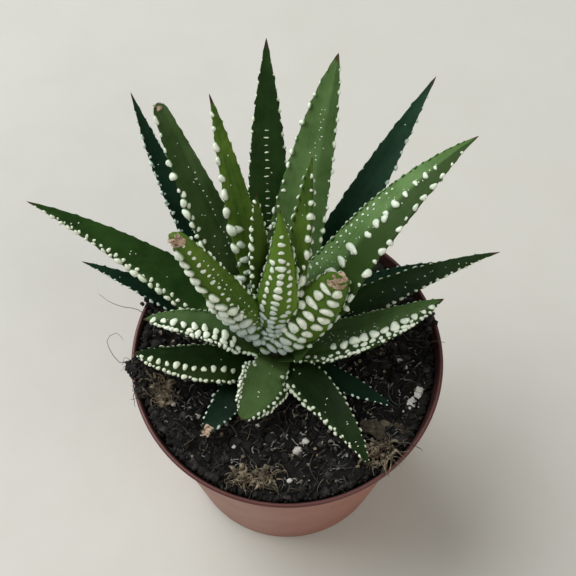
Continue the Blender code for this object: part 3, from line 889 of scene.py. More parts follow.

# %% [markdown]
# ### How each leaf has grown
# The table holds what differs from leaf to leaf: its finish, its tone, the spacing of the bands of knobs on
# its back, the size of the knobs, and the size and spacing of the beads on its left and right edges, all in
# millimetres. On some lower leaves the tone is lowered as painted shade. `spots` is how many small dots the
# upper face has for each centimetre, and `dry` is 1 where the point has withered. `broaden` widens a leaf.
# `fold` is the place across it where one side bends down, on the left if it is positive, and `drop` is how
# steeply; one side of each fold also gets painted shade. Outer leaves are old, dark and finely beaded;
# the crown's are young and yellowish, with knobs that run together.

# %% Growth table
FIELDS = ("finish", "tone", "band", "knob", "left_bead", "left_pitch", "right_bead", "right_pitch", "spots", "dry",
          "broaden", "fold", "drop")
GROWTH = {
    "leaf_01": ("sea", 0.5, 2.0, 0.9, 0.90, 1.9, 0.90, 1.9, 0.5, 1, 1.0, 0, 0),
    "leaf_02": ("sea", 0.55, 2.1, 0.9, 0.80, 2.0, 0.85, 2.0, 1.0, 0, 1.0, 0, 0),
    "leaf_03": ("sea", 0.9, 2.4, 1.0, 0.95, 2.3, 0.90, 2.3, 1.0, 0, 1.0, 0, 0),
    "leaf_04": ("dark", 0.9, 2.4, 1.1, 0.95, 2.5, 0.95, 2.5, 2.0, 0, 1.0, 0, 0),
    "leaf_05": ("sea", 0.95, 2.4, 1.0, 0.90, 2.4, 0.90, 2.2, 2.0, 0, 1.0, 0, 0),
    "leaf_06": ("dark", 0.9, 2.4, 1.1, 0.95, 2.5, 0.95, 2.5, 2.0, 0, 1.0, 0, 0),
    "leaf_07": ("dark", 0.50, 2.0, 1.2, 1.15, 1.35, 0.95, 1.6, 0.5, 0, 1.0, 0.42, 0.45),
    "leaf_08": ("dark", 0.44, 2.1, 1.1, 0.95, 1.8, 1.30, 1.9, 2.5, 0, 1.0, -0.78, 0.3),
    "leaf_09": ("fresh", 0.62, 1.8, 1.1, 1.00, 1.25, 1.15, 1.15, 2.0, 0, 1.0, 0.62, 0.3),
    "leaf_10": ("dark", 1.0, 2.5, 1.3, 2.00, 2.6, 0.50, 3.1, 1.2, 0, 1.0, 0.74, 0.3),
    "leaf_11": ("fresh", 0.52, 2.0, 1.3, 1.20, 1.35, 0.95, 1.5, 0.6, 0, 1.0, 0.36, 0.45),
    "leaf_12": ("dark", 0.6, 2.2, 1.0, 0.85, 2.1, 0.95, 2.1, 4.0, 0, 1.0, 0, 0),
    "leaf_13": ("fresh", 0.72, 2.0, 1.3, 0.95, 1.6, 1.05, 1.35, 8.0, 0, 1.0, -0.42, 0.4),
    "leaf_14": ("sea", 0.9, 2.5, 1.1, 1.20, 2.3, 0.85, 2.6, 0.5, 0, 1.0, 0, 0),
    "leaf_15": ("sea", 1.1, 2.6, 1.1, 0.50, 3.1, 1.35, 3.5, 2.0, 0, 1.0, 0, 0),
    "leaf_16": ("dark", 0.8, 2.6, 1.1, 0.85, 2.9, 1.00, 3.1, 1.0, 0, 1.0, 0, 0),
    "leaf_17": ("fresh", 0.60, 3.0, 1.5, 1.90, 3.3, 0.45, 3.1, 3.0, 1, 1.0, -0.30, 0.12),
    "leaf_18": ("fresh", 0.80, 3.4, 1.6, 1.55, 3.7, 1.30, 3.1, 8.0, 0, 1.0, -0.26, 0.02),
    "leaf_19": ("fresh", 0.9, 3.2, 1.8, 1.15, 1.8, 1.75, 3.5, 7.0, 0, 1.28, -0.01, 0.55),
    "leaf_20": ("young", 0.95, 3.2, 3.2, 1.30, 2.1, 1.50, 2.2, 4.0, 1, 1.14, 0, 0),
    "leaf_21": ("young", 1.1, 2.55, 3.4, 1.50, 2.2, 1.50, 2.2, 0.5, 1, 1.32, 0, 0),
    "leaf_22": ("young", 1.1, 3.6, 1.8, 2.20, 4.1, 0.70, 3.1, 1.0, 0, 1.0, 0.62, 0.4),
    "leaf_23": ("young", 0.72, 3.4, 1.6, 1.50, 3.4, 1.90, 3.4, 1.0, 0, 1.3, 0, 0),
    "leaf_24": ("young", 0.6, 3.0, 1.5, 1.50, 3.1, 1.40, 3.1, 1.0, 0, 1.15, 0, 0),
    "leaf_25": ("young", 1.35, 2.4, 2.0, 1.50, 2.0, 1.50, 2.0, 1.0, 0, 1.10, 0, 0),
}
# Rows of larger knobs: place across, size across, size along, pitch, first and last share, and 1 on the back
ROWS = {
    "leaf_07": [(0.56, 2.2, 1.9, 2.5, 0.30, 0.93)],
    "leaf_08": [(-0.84, 1.0, 1.0, 2.9, 0.25, 0.85)],
    "leaf_09": [(0.76, 1.2, 1.15, 1.7, 0.20, 0.92), (-0.86, 1.0, 1.2, 1.3, 0.25, 0.9)],
    "leaf_10": [(0.84, 1.3, 1.2, 2.3, 0.20, 0.90)],
    "leaf_11": [(0.50, 2.9, 2.3, 2.8, 0.30, 0.93), (0.78, 1.9, 1.9, 2.4, 0.25, 0.66)],
    "leaf_13": [(-0.56, 2.3, 2.8, 2.7, 0.34, 0.95), (-0.80, 1.2, 1.6, 2.2, 0.18, 0.8)],
    "leaf_14": [(0.86, 1.1, 1.0, 2.6, 0.20, 0.80)],
    "leaf_17": [(0.80, 1.7, 1.5, 3.1, 0.16, 0.72), (-0.34, 0.5, 0.5, 1.7, 0.3, 0.75)],
    "leaf_19": [(-0.12, 4.6, 2.5, 4.3, 0.24, 0.50), (-0.14, 2.3, 1.9, 3.4, 0.53, 0.84),
                (-0.24, 2.0, 2.0, 6.1, 0.30, 0.62), (0.74, 0.8, 0.8, 1.9, 0.10, 0.7),
                (0.5, 0.6, 0.5, 2.3, 0.12, 0.6)],
    "leaf_16": [(0.04, 1.2, 0.42, 1.9, 0.32, 0.72), (-0.2, 0.6, 0.36, 3.9, 0.25, 0.6)],
    "leaf_18": [(0.86, 1.1, 1.0, 4.5, 0.15, 0.55)],
    "leaf_22": [(0.72, 2.3, 2.2, 3.9, 0.12, 0.55)],
    "leaf_20": [(0.42, 1.4, 1.2, 2.2, 0.10, 0.94, 1), (0.72, 0.6, 0.5, 1.9, 0.1, 0.8, 1),
                (0.58, 0.5, 0.45, 2.3, 0.1, 0.7, 1)],
    "leaf_25": [(0.05, 2.4, 1.7, 2.2, 0.12, 0.86, 1), (0.62, 1.7, 1.6, 2.3, 0.32, 0.7, 1),
                (-0.58, 1.8, 1.7, 2.4, 0.32, 0.7, 1),
                (0.55, 2.9, 1.7, 2.5, 0.12, 0.34, 1), (-0.52, 3.1, 1.8, 2.6, 0.12, 0.34, 1)],
}
# Feet that sit differently: how broad, slid by how many millimetres, and how closely the back's knobs stand
FEET = {
    "leaf_20": (1.0, (-0.5, -0.5, 0.5), 0.84),
    "leaf_21": (1.10, (-4.0, -2.0, 0.3), 0.86),
    "leaf_25": (0.95, (0.3, 3.6, 4.4), 0.80),
    "leaf_19": (1.1, (0, -1.0, 0), 1.12),
    "leaf_09": (0.82, (0, 0, 1.0), 1.12),
}
# Leaves whose foot faces the same way as the blade, with a bare strip on the back, a rounded foot, or moved over
STRAIGHT_FEET = ("leaf_09", "leaf_20", "leaf_21")
BARE = {"leaf_20": 0.38}
BLUNT = ("leaf_21", "leaf_25")
MOVED = {"leaf_21": (-1.6, 1.4, 0.8), "leaf_19": (1.0, -0.9, -0.3)}
# The share of the back, from the foot up, where bands of knobs stand
BAND_END = {"leaf_25": 0.10}
# How strongly the side that bends down gets painted shade, in the back's colour; below 0, the other side gets it
# instead
FOLD_SHADE = {"leaf_18": 0.55, "leaf_17": -0.42}
# Degrees turned about the leaf's own length
ROLLED = {"leaf_21": -36}
for name, leaf in cad_leaves.items():
    leaf.update(zip(FIELDS, GROWTH[name]))
    leaf["bare"], leaf["blunt"] = BARE.get(name, 2.0), name in BLUNT
    leaf["shift"] = np.array(MOVED.get(name, (0, 0, 0)))
    if name in STRAIGHT_FEET:
        leaf["up"][:5], leaf["left"][:5] = leaf["up"][5], leaf["left"][5]
    leaf["point_shape"] = 2.0 if leaf["dry"] else 1.0
    leaf["foot"], leaf["slide"], leaf["merge"] = FEET.get(name, (1.0, (0, 0, 0), 1.12))
    climb = leaf["centre"][4] - leaf["centre"][0]
    steep = float(climb[2]) / float(np.linalg.norm(climb))
    leaf["band_end"], leaf["roll"] = BAND_END.get(name, 0.93), ROLLED.get(name, 0)
    leaf["curl"] = 0.1 + 0.9 * max(steep, 0) ** 1.5
print("grown:", {f: sum(g[0] == f for g in GROWTH.values()) for f in LEAF_FINISHES})


# %% Leaf skins
def paint(piece, name, values):
    """Keep one number per corner on the mesh, for the materials."""
    layer = piece.data.attributes.new(name, "FLOAT", "POINT")
    layer.data.foreach_set("value", np.asarray(values, dtype=np.float32))


def make_skin(name, leaf):
    """A copy of the blank laid over one leaf, gently rippled, with the values its finish reads."""
    take(blank)
    bpy.ops.object.duplicate()
    skin = bpy.context.object
    along = np.clip(blank_points[:, 2], 0, 1)
    across = np.clip(blank_points[:, 0], -1, 1)
    under = (blank_points[:, 1] < -1e-6).astype(float)
    seed = Vector((0.37 * int(name[-2:]), 1.9, 0))
    half = leaf_section(leaf, along)[3]
    point, out, forward, sideways = leaf_ways(leaf, along, across, under)
    ripple = np.array([noise.noise(seed + Vector((a * leaf["length"] * 260, x * 1.3, u * 3)))
                       for a, x, u in zip(along, across, under)])
    settle_in = np.clip((1 - along) * 12, 0, 1)
    place = on_leaf(leaf, along, across, under) + out * (ripple * 0.05 * half * settle_in)[:, None]
    skin.data.vertices.foreach_set("co", place.astype(np.float32).ravel())
    skin.data.update()
    paint(skin, "along", np.minimum(along, 0.93) if leaf["dry"] else along)
    paint(skin, "across", across * half / MM)
    # The side that folds down gets painted shade, carried in the under value
    painted_fold_shade = np.zeros(len(along))
    if leaf["fold"]:
        past = np.clip((across * np.sign(leaf["fold"]) - abs(leaf["fold"])) * 7, 0, 1)
        painted_fold_shade = past * np.clip(along * 6 - 0.6, 0, 1)
    covered = under * np.clip(4 * (1 - np.abs(across)), 0, 1) * (across < leaf["bare"])
    shade = FOLD_SHADE.get(name, 1.0)
    paint(skin, "under", np.maximum(covered, shade * painted_fold_shade - min(shade, 0)))
    paint(skin, "tone", np.full(len(along), leaf["tone"]))
    skin.name = skin.data.name = name + "_skin"
    return skin


FIRST_YOUNG = 20


def leaf_slot(number):
    """A slot name for a leaf, by its age."""
    if number in (1, 2, 3, 4, 5, 6, 7, 14, 15):
        return "leaf_dark"
    return "leaf_young" if number >= FIRST_YOUNG else "leaf_mid"


skins = {}
for name, leaf in cad_leaves.items():
    skin = make_skin(name, leaf)
    take(skin)
    edit_all()
    face_outwards()
    skins[name] = finish_piece(skin, LEAF_FINISHES[leaf["finish"]], leaf_slot(int(name[-2:])), name)
print(len(skins), "leaf skins,", triangles(skins["leaf_01"]), "triangles each")

# %% [markdown]
# ### Knobs and beads
# A knob is a low dome. One is modelled: an icosphere is cut off just under its equator and its base closed.
# It has only a few dozen faces, because there are thousands of copies. Each copy is stretched,
# turned and sunk a little into the skin. On the back, knobs stand in bands that bow towards the tip at the
# edges. On young leaves they are wide enough to run together into ridges.

# %% The knob template
bpy.ops.mesh.primitive_ico_sphere_add(subdivisions=2, radius=1)
knob = settle(bpy.context.object, "knob_template")
edit_all()
bpy.ops.mesh.bisect(plane_co=(0, 0, -0.3), plane_no=(0, 0, 1), use_fill=True, clear_inner=True)
bpy.ops.mesh.select_all(action="SELECT")
bpy.ops.mesh.quads_convert_to_tris()
face_outwards()
knob_points, knob_faces = template_arrays(knob)
print("knob:", len(knob_points), "corners,", len(knob_faces), "faces, lowest", round(knob_points[:, 2].min(), 2))


# %% Stamp copies into one mesh
def mesh_piece(name, points, faces):
    """A new piece from corners and faces."""
    mesh = bpy.data.meshes.new(name)
    mesh.from_pydata(np.asarray(points).tolist(), [], np.asarray(faces).tolist())
    piece = bpy.data.objects.new(name, mesh)
    bpy.context.collection.objects.link(piece)
    return piece


def stamp(name, points, faces, places, ways, sizes, uneven=0.0):
    """Copies of a template: ways holds three axes for each copy, sizes the stretch along each."""
    dice = np.random.RandomState(len(places))
    angle = np.arctan2(points[:, 1], points[:, 0])[None, :]
    turn = dice.uniform(0, math.tau, (3, len(places), 1))
    around = 1 + uneven * (0.5 * np.cos(2 * angle + turn[0]) + 0.35 * np.cos(3 * angle + turn[1]))
    skewed = np.repeat(points[None, :, :], len(places), axis=0)
    skewed[:, :, :2] *= around[:, :, None]
    skewed[:, :, 2] *= 1 + 0.6 * uneven * np.cos(angle + turn[2]) * np.hypot(points[:, 0], points[:, 1])
    stretched = skewed * sizes[:, None, :]
    laid = np.einsum("npk,nkc->npc", stretched, ways) + places[:, None, :]
    shift = (np.arange(len(places)) * len(points))[:, None, None]
    piece = mesh_piece(name, laid.reshape(-1, 3), (faces[None, :, :] + shift).reshape(-1, 3))
    paint(piece, "rise", np.tile((points[:, 2] - points[:, 2].min()) / np.ptp(points[:, 2]), len(places)))
    return piece


print("stamp ready")


# %% Where the knobs stand
BEADS_FROM, BEADS_TO = 0.12, 0.96
KNOB_SEED = 17


def edge_beads(leaf, side, bead, pitch, draw):
    """Beads along one edge, uneven in size, each pushed outward and a little up."""
    rows = []
    length = leaf["length"] / MM
    at = BEADS_FROM * length
    while at < BEADS_TO * length:
        along = at / length
        fit = min(1.0, 0.36 + 1.05 * float(leaf_section(leaf, np.array([along]))[3][0]) / leaf["widest"])
        size = bead * fit * draw.choice((0.62, 0.85, 1.0, 1.08, 1.22)) * draw.uniform(0.9, 1.1)
        rows.append((along, side * draw.uniform(0.93, 0.985), 0.0, size * draw.uniform(0.4, 0.55),
                     size * draw.uniform(0.46, 0.74), size * draw.uniform(0.4, 0.58), "edge"))
        at += max(pitch * (0.7 + 0.3 * fit) * draw.uniform(0.78, 1.22), 0.62 * size)
    return rows


def face_rows(leaf, rows_wanted, draw):
    """Rows of larger knobs that run along the visible face."""
    rows = []
    length = leaf["length"] / MM
    for x, wide, tall, pitch, first, last, *under in rows_wanted:
        at = first * length
        while at < last * length:
            along = at / length
            fit = min(1.0, 0.3 + 1.1 * float(leaf_section(leaf, np.array([along]))[3][0]) / leaf["widest"])
            grow = fit * draw.uniform(0.72, 1.18)
            rows.append((along, x + draw.uniform(-0.05, 0.05), float(bool(under)), wide * grow * 0.5, tall * grow * 0.5,
                         min(wide, tall) * grow * draw.uniform(0.32, 0.42), "face"))
            at += pitch * (0.75 + 0.25 * fit) * draw.uniform(0.9, 1.1)
    return rows


def back_bands(leaf, draw):
    """Bands of knobs over the keeled back; `merge` says how closely they stand, and `bare` where they stop."""
    rows = []
    length = leaf["length"] / MM
    at = (0.02 if leaf["blunt"] else 0.09) * length
    while at < leaf["band_end"] * length:
        along = at / length
        half = float(leaf_section(leaf, np.array([along]))[3][0]) / MM
        fit = min(1.0, 0.62 + 0.7 * half * MM / leaf["widest"])
        wide = leaf["knob"] * fit
        closely = leaf["merge"] + (0.28 if along > 0.42 and leaf["merge"] < 1 else 0.0)
        count = max(1, int(round(1.72 * half / (closely * wide))))
        for i in range(count):
            x = (i - (count - 1) / 2) * (1.66 / max(count, 2)) + draw.uniform(-0.05, 0.05)
            thin_out = 0.03 if leaf["finish"] == "young" else 0.12 + 0.5 * max(0.0, along - 0.6)
            if x > leaf["bare"] - 0.08 or (abs(x) > 0.25 and draw.random() < thin_out):
                continue
            bow = 1.7 * x * x
            spot = min(0.97, (at + bow + draw.uniform(-0.22, 0.22)) / length)
            rows.append((spot, x, 1.0, wide * draw.uniform(0.46, 0.66),
                         min(wide, leaf["band"]) * draw.uniform(0.36, 0.49),
                         min(wide, leaf["band"]) * draw.uniform(0.38, 0.54), "back"))
        at += leaf["band"] * (0.7 + 0.3 * fit) * draw.uniform(0.93, 1.07)
    return rows


def face_spots(leaf, draw):
    """Small dots on the upper face, mostly near the midrib and low down."""
    rows = []
    for _ in range(int(leaf["spots"] * leaf["length"] / MM / 10)):
        along = 0.14 + 0.72 * draw.random() ** 1.3
        x = draw.gauss(0, 0.2)
        if abs(x) < 0.8:
            size = draw.uniform(0.24, 0.42)
            rows.append((along, x, 0.0, size * draw.uniform(0.5, 0.85), size * 0.45, size * 0.28, "face"))
    return rows


def grow_knobs(name, leaf):
    """All knobs and beads of one leaf, stamped into one piece."""
    draw = random.Random(int(name[-2:]) * KNOB_SEED)
    leaf["widest"] = float(leaf_section(leaf, np.linspace(0.2, 1, 30))[3].max())
    rows = edge_beads(leaf, 1, leaf["left_bead"], leaf["left_pitch"], draw)
    rows += edge_beads(leaf, -1, leaf["right_bead"], leaf["right_pitch"], draw)
    rows += back_bands(leaf, draw) + face_rows(leaf, ROWS.get(name, ()), draw) + face_spots(leaf, draw)
    along, across, under = (np.array([row[i] for row in rows]) for i in range(3))
    sizes = np.array([row[3:6] for row in rows]) * MM
    place, out, forward, sideways = leaf_ways(leaf, along, across, under)
    edge = np.array([row[6] == "edge" for row in rows])
    centre, left, up = leaf_section(leaf, along)[:3]
    outward = unit(left * np.sign(across)[:, None] * 0.85 + up * 0.35)
    out = np.where(edge[:, None], outward, out)
    forward = unit(forward - out * np.sum(forward * out, axis=1, keepdims=True))
    sideways = np.cross(forward, out)
    ways = np.stack([sideways, forward, out], axis=1)
    piece = stamp(name + "_knobs", knob_points, knob_faces, place, ways, sizes, uneven=0.3)
    paint(piece, "along", np.repeat(along, len(knob_points)))
    return piece


knob_count = 0
for name, leaf in cad_leaves.items():
    knobs = grow_knobs(name, leaf)
    knob_count += len(knobs.data.polygons) // len(knob_faces)
    finish_piece(knobs, KNOB_FINISHES[leaf["finish"]], leaf_slot(int(name[-2:])))
print(knob_count, "knobs and beads")

# %% [markdown]
# ### Withered tips
# Four leaves have lost their points, and end in a tan cup of dead skin. A tube is raised from a circle,
# drawn in at the top and pushed back down inside, so it has an outer and an inner wall. Each copy is
# crumpled by noise and set over the end of its own leaf.

# %% Dry cups
CUP_SIDES = 18
CUP_RINGS = ((1.0, 0.0), (1.04, 0.35), (1.0, 0.75), (0.86, 1.15), (0.84, 1.6), (0.72, 2.0), (0.62, 2.1),
             (0.56, 1.9), (0.46, 1.4), (0.28, 1.1))
bpy.ops.mesh.primitive_circle_add(vertices=CUP_SIDES, radius=1)
cup = bpy.context.object
edit_all()
pull_up(CUP_RINGS)
bpy.ops.mesh.merge(type="CENTER")
bpy.ops.mesh.select_all(action="SELECT")
bpy.ops.mesh.quads_convert_to_tris()
face_outwards()
cup = settle(cup, "cup_template")
cup_points, cup_faces = template_arrays(cup)

# Share along the leaf, then width, depth and height in millimetres
CUPS = {"leaf_01": (0.93, 1.3, 0.9, 1.1), "leaf_17": (0.968, 1.15, 0.8, 0.8), "leaf_20": (0.93, 2.0, 1.4, 1.4),
        "leaf_21": (0.90, 2.3, 1.7, 1.5)}
for name, (along, wide, deep, tall) in CUPS.items():
    leaf = cad_leaves[name]
    at = np.array([along])
    centre, left, up, half, thick = leaf_section(leaf, at)[:5]
    forward = unit(leaf_section(leaf, at + 0.02)[0] - leaf_section(leaf, at - 0.02)[0])
    middle = centre - up * thick[:, None] * 0.45
    seed = Vector((int(name[-2:]), 4.2, 0))
    crumple = np.array([tuple(noise.noise_vector(Vector(p) * 1.35 + seed)) for p in cup_points])
    crumple += 0.5 * np.array([tuple(noise.noise_vector(Vector(p) * 3.1 + seed)) for p in cup_points])
    shaped = cup_points + crumple * np.array([0.6, 0.6, 0.8]) * np.clip(cup_points[:, 2:], 0.15, 1)
    ways = np.stack([left, up, forward], axis=1)
    tip = stamp(name + "_dry_tip", shaped, cup_faces, middle, ways, np.array([[wide, deep, tall]]) * MM)
    finish_piece(tip, dry_tip, leaf_slot(int(name[-2:])), smooth=50)
print(len(CUPS), "withered tips")

# %% [markdown]
# ### The stem
# The bare stem hardly shows between the leaf feet. The CAD node stays, with a dull olive skin.

# %% Stem skin
take(nodes["stem"])
nodes["stem"].data.materials.clear()
nodes["stem"].data.materials.append(stem_skin)
let_go()

# %% [markdown]
# ## What lies on the peat
# Crumbs are lumpy icospheres, and roots are thin tubes that follow a wandering line. One crumb and one strand
# are modelled, and each copy is roughened or bent on its own. The random draws are seeded, so every run
# gives the same pot.

# %% Crumb and strand templates
draw = random.Random(11)
crumb_shapes = []
for detail in (1, 2):
    bpy.ops.mesh.primitive_ico_sphere_add(subdivisions=detail, radius=1)
    crumb = settle(bpy.context.object, "crumb_template_%d" % detail)
    edit_all()
    bpy.ops.transform.resize(value=(1.15, 0.95, 0.75))
    bpy.ops.object.mode_set(mode="OBJECT")
    crumb_shapes.append((crumb, *template_arrays(crumb)))

STRAND_SIDES, STRAND_STEPS = 5, 9
bpy.ops.mesh.primitive_circle_add(vertices=STRAND_SIDES, radius=1)
strand = settle(bpy.context.object, "strand_template")
edit_all()
pull_straight(STRAND_STEPS)
bpy.ops.mesh.select_all(action="SELECT")
bpy.ops.mesh.quads_convert_to_tris()
face_outwards()
strand_points, strand_faces = template_arrays(strand)
print("crumbs of", [len(s[2]) for s in crumb_shapes], "faces, strand of", len(strand_faces))


# %% Gather copies into a piece
def gather(name, parts):
    """One mesh from many (points, faces) lists."""
    points, faces, count = [], [], 0
    for part_points, part_faces in parts:
        faces.append(part_faces + count)
        points.append(part_points)
        count += len(part_points)
    return mesh_piece(name, np.concatenate(points), np.concatenate(faces))


def crumb_copy(place, size, flat=1.0, detail=0):
    """A roughened crumb of a given half size, turned at random."""
    _, points, faces = crumb_shapes[detail]
    seed = Vector((draw.uniform(0, 50), draw.uniform(0, 50), 0))
    rough = np.array([1 + 0.55 * noise.noise(Vector(p) * 1.6 + seed) for p in points])
    turn = draw.uniform(0, math.tau)
    lean = draw.uniform(-0.5, 0.5)
    shaped = points * rough[:, None] * np.array([1, 1, flat])
    c, s = math.cos(lean), math.sin(lean)
    shaped = shaped @ np.array([[c, 0, s], [0, 1, 0], [-s, 0, c]])
    c, s = math.cos(turn), math.sin(turn)
    shaped = shaped @ np.array([[c, s, 0], [-s, c, 0], [0, 0, 1]])
    return shaped * size + np.array(place), faces


def strand_copy(line, thick, flat=1.0):
    """The strand laid along a line of points, tapered to its end, and flat like a ribbon if wanted."""
    line = np.asarray(line)
    t = strand_points[:, 2] * (len(line) - 1)
    centre = smooth_through(line, t)
    ahead = unit(smooth_through(line, np.minimum(t + 0.1, len(line) - 1))
                 - smooth_through(line, np.maximum(t - 0.1, 0)))
    side = unit(np.cross(ahead, np.array([0.13, 0.21, 0.97])))
    other = np.cross(ahead, side)
    taper = thick * (1 - 0.55 * strand_points[:, 2])
    wide, deep = strand_points[:, 0] * taper, strand_points[:, 1] * taper * flat
    return centre + side * wide[:, None] + other * deep[:, None], strand_faces


def wander(start, length, lift, bend=0.6, steps=5):
    """A line over the peat that turns a little at every step and arches up by lift."""
    x, y = start
    heading = draw.uniform(0, math.tau)
    turn = draw.gauss(0, bend)
    line = []
    for i in range(steps + 1):
        share = i / steps
        rise = lift * math.sin(math.pi * share) + draw.uniform(0, 0.25 * MM)
        line.append((x, y, ground(x, y) + 0.12 * MM + rise))
        heading += turn + draw.gauss(0, bend * 0.5)
        x += length / steps * math.cos(heading)
        y += length / steps * math.sin(heading)
    return line


def on_peat(inner=0.10, outer=0.985):
    """A random place on the peat, even over its area."""
    reach = SOIL_EDGE * math.sqrt(draw.uniform(inner ** 2, outer ** 2))
    angle = draw.uniform(0, math.tau)
    return reach * math.cos(angle), reach * math.sin(angle)


def at_bearing(bearing, reach):
    """A place round the pot: degrees counted from the right, and metres from the axis."""
    return reach * math.cos(math.radians(bearing)), reach * math.sin(math.radians(bearing))


def scatter_crumbs(count, inner, sizes, lift, flat=1.0, detail=0):
    """Crumbs over the peat, of the least and the most half size in millimetres."""
    parts = []
    for _ in range(count):
        x, y = on_peat(inner)
        size = draw.uniform(*sizes) * MM
        parts.append(crumb_copy((x, y, ground(x, y) + lift * size), size, flat, detail))
    return parts


def scatter_strands(count, inner, outer, lengths, lift, bend, thicks, flats=None):
    """Strands over the peat; lengths, thicks and flats are the least and the most, in millimetres."""
    parts = []
    for _ in range(count):
        line = wander(on_peat(inner, outer), draw.uniform(*lengths) * MM, draw.uniform(0, lift) * MM, bend)
        parts.append(strand_copy(line, draw.uniform(*thicks) * MM, draw.uniform(*flats) if flats else 1.0))
    return parts


print("crumb and strand helpers ready")

# %% Crumbs over the peat
MOUTH = RIM - 2.3 * LIP


def inner_wall(z):
    """Radius of the pot's inner wall at a height."""
    share = min(max((POT_TOP - 2 * LIP - z) / (POT_TOP - 2 * LIP - collar_z), 0), 1)
    return MOUTH + (collar - WALL - MOUTH) * share


BANK_CRUMBS = 1300
parts = scatter_crumbs(2300, 0.10, (0.2, 0.62), 0.15)
for _ in range(BANK_CRUMBS):
    angle = draw.uniform(0, math.tau)
    size = draw.choice((0.3, 0.4, 0.5, 0.7, 1.0)) * draw.uniform(0.8, 1.2) * MM
    reach = MOUTH - abs(draw.gauss(0, 1.7)) * MM
    x, y = reach * math.cos(angle), reach * math.sin(angle)
    below = 1.5 + 0.9 * math.cos(angle) + 1.3 * noise.noise(Vector((x, y, 0)) * 70) + draw.uniform(0, 2.2)
    z = POT_TOP - below * MM
    inside = min(reach, inner_wall(z - size) - 1.45 * size) / reach
    parts.append(crumb_copy((x * inside, y * inside, z), size, 0.85))
parts += scatter_crumbs(170, 0.3, (0.7, 1.5), 0.1, 0.8, 1)
crumbs = finish_piece(gather("peat_crumbs", parts), crumb_dark, "peat", smooth=60)
print(crumbs.name, triangles(crumbs), "triangles")

# %% Roots and fibres
parts = scatter_strands(240, 0.1, 0.96, (2, 6), 1.2, 0.25, (0.045, 0.10))
parts += scatter_strands(520, 0.1, 0.97, (1.2, 3.6), 0.9, 0.35, (0.12, 0.26), (0.3, 0.8))
parts += scatter_strands(50, 0.3, 0.9, (5, 12), 2.0, 0.4, (0.12, 0.22))
fibres = finish_piece(gather("root_fibres", parts), root_brown, "peat")
print(fibres.name, triangles(fibres), "triangles")

# %% Grey shreds
parts = []
SHRED_CLUSTERS = 130
for _ in range(SHRED_CLUSTERS):
    middle = on_peat(0.3, 0.92)
    for _ in range(draw.choice((1, 2, 3, 5))):
        start = middle[0] + draw.gauss(0, 1.5) * MM, middle[1] + draw.gauss(0, 1.5) * MM
        if math.hypot(*start) < 0.94 * SOIL_EDGE:
            line = wander(start, draw.uniform(0.8, 2.8) * MM, draw.uniform(0, 1.0) * MM, 0.3)
            parts.append(strand_copy(line, draw.uniform(0.12, 0.30) * MM, draw.uniform(0.3, 0.8)))
shreds = finish_piece(gather("grey_shreds", parts), shred_grey, "peat")
print(shreds.name, triangles(shreds), "triangles")

# %% Chips and pale threads
parts = scatter_crumbs(190, 0.15, (0.2, 0.65), 0.5, 0.35)
parts += scatter_strands(50, 0.2, 0.95, (2, 7), 0.9, 0.25, (0.05, 0.09))
chips = finish_piece(gather("straw_chips", parts), straw, "peat", smooth=60)
print(chips.name, triangles(chips), "triangles")

# %% [markdown]
# ### Perlite
# Perlite is popped volcanic glass: round white grains, a millimetre or two wide. The larger ones have their
# own places round the pot, given as a bearing and a share of the peat's radius; the fine ones are scattered.

# %% Perlite grains
GRAINS = ((212, 0.73, 0.9), (240, 0.72, 0.6), (276, 0.65, 1.15), (282, 0.60, 0.9), (271, 0.88, 0.7), (202, 0.85, 0.7),
          (247, 0.52, 0.6), (1, 0.79, 0.75), (357, 0.83, 0.7), (228, 0.62, 0.45), (300, 0.8, 0.5))
parts = []
for bearing, share, size in GRAINS:
    x, y = at_bearing(bearing, SOIL_EDGE * share)
    parts.append(crumb_copy((x, y, ground(x, y) + 0.5 * size * MM), size * MM, 1.1, 1))
parts += scatter_crumbs(70, 0.3, (0.12, 0.32), 0.6)
grains = finish_piece(gather("perlite_grains", parts), perlite, "peat")
print(grains.name, triangles(grains), "triangles")

# %% [markdown]
# ### Straw tufts
# Where the plant was lifted, dead roots lie in tangled tufts at the front and the right of the rim. Each tuft
# fills the box of its CAD node with bent strands and ribbons.

# %% Tufts of dead roots
TUFT_STRANDS = 80


def tuft(name, low, high):
    """Tangled strands and flat ribbons inside a box on the peat."""
    middle = [(a + b) / 2 for a, b in zip(low, high)]
    half = [(b - a) / 2 for a, b in zip(low, high)]
    tall = high[2] - low[2]

    def somewhere(reach_to):
        angle, reach = draw.uniform(0, math.tau), math.sqrt(draw.random()) * reach_to
        return middle[0] + half[0] * reach * math.cos(angle), middle[1] + half[1] * reach * math.sin(angle)

    parts = []
    for _ in range(TUFT_STRANDS):
        line = wander(somewhere(0.85), draw.uniform(2, 6) * MM, draw.uniform(0.1, 1.0) * tall, 0.4)
        parts.append(strand_copy(line, draw.uniform(0.06, 0.2) * MM))
    for _ in range(TUFT_STRANDS // 2):
        line = wander(somewhere(0.75), draw.uniform(1.6, 4.5) * MM, draw.uniform(0.0, 0.9) * tall, 0.5)
        parts.append(strand_copy(line, draw.uniform(0.35, 0.9) * MM, draw.uniform(0.14, 0.3)))
    return gather(name, parts)


for name in ("root_tuft_front", "root_tuft_right", "root_tuft_left"):
    piece = tuft(name + "_straw", *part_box(name))
    finish_piece(piece, straw, "dry_litter", name)
    print(piece.name, triangles(piece), "triangles")


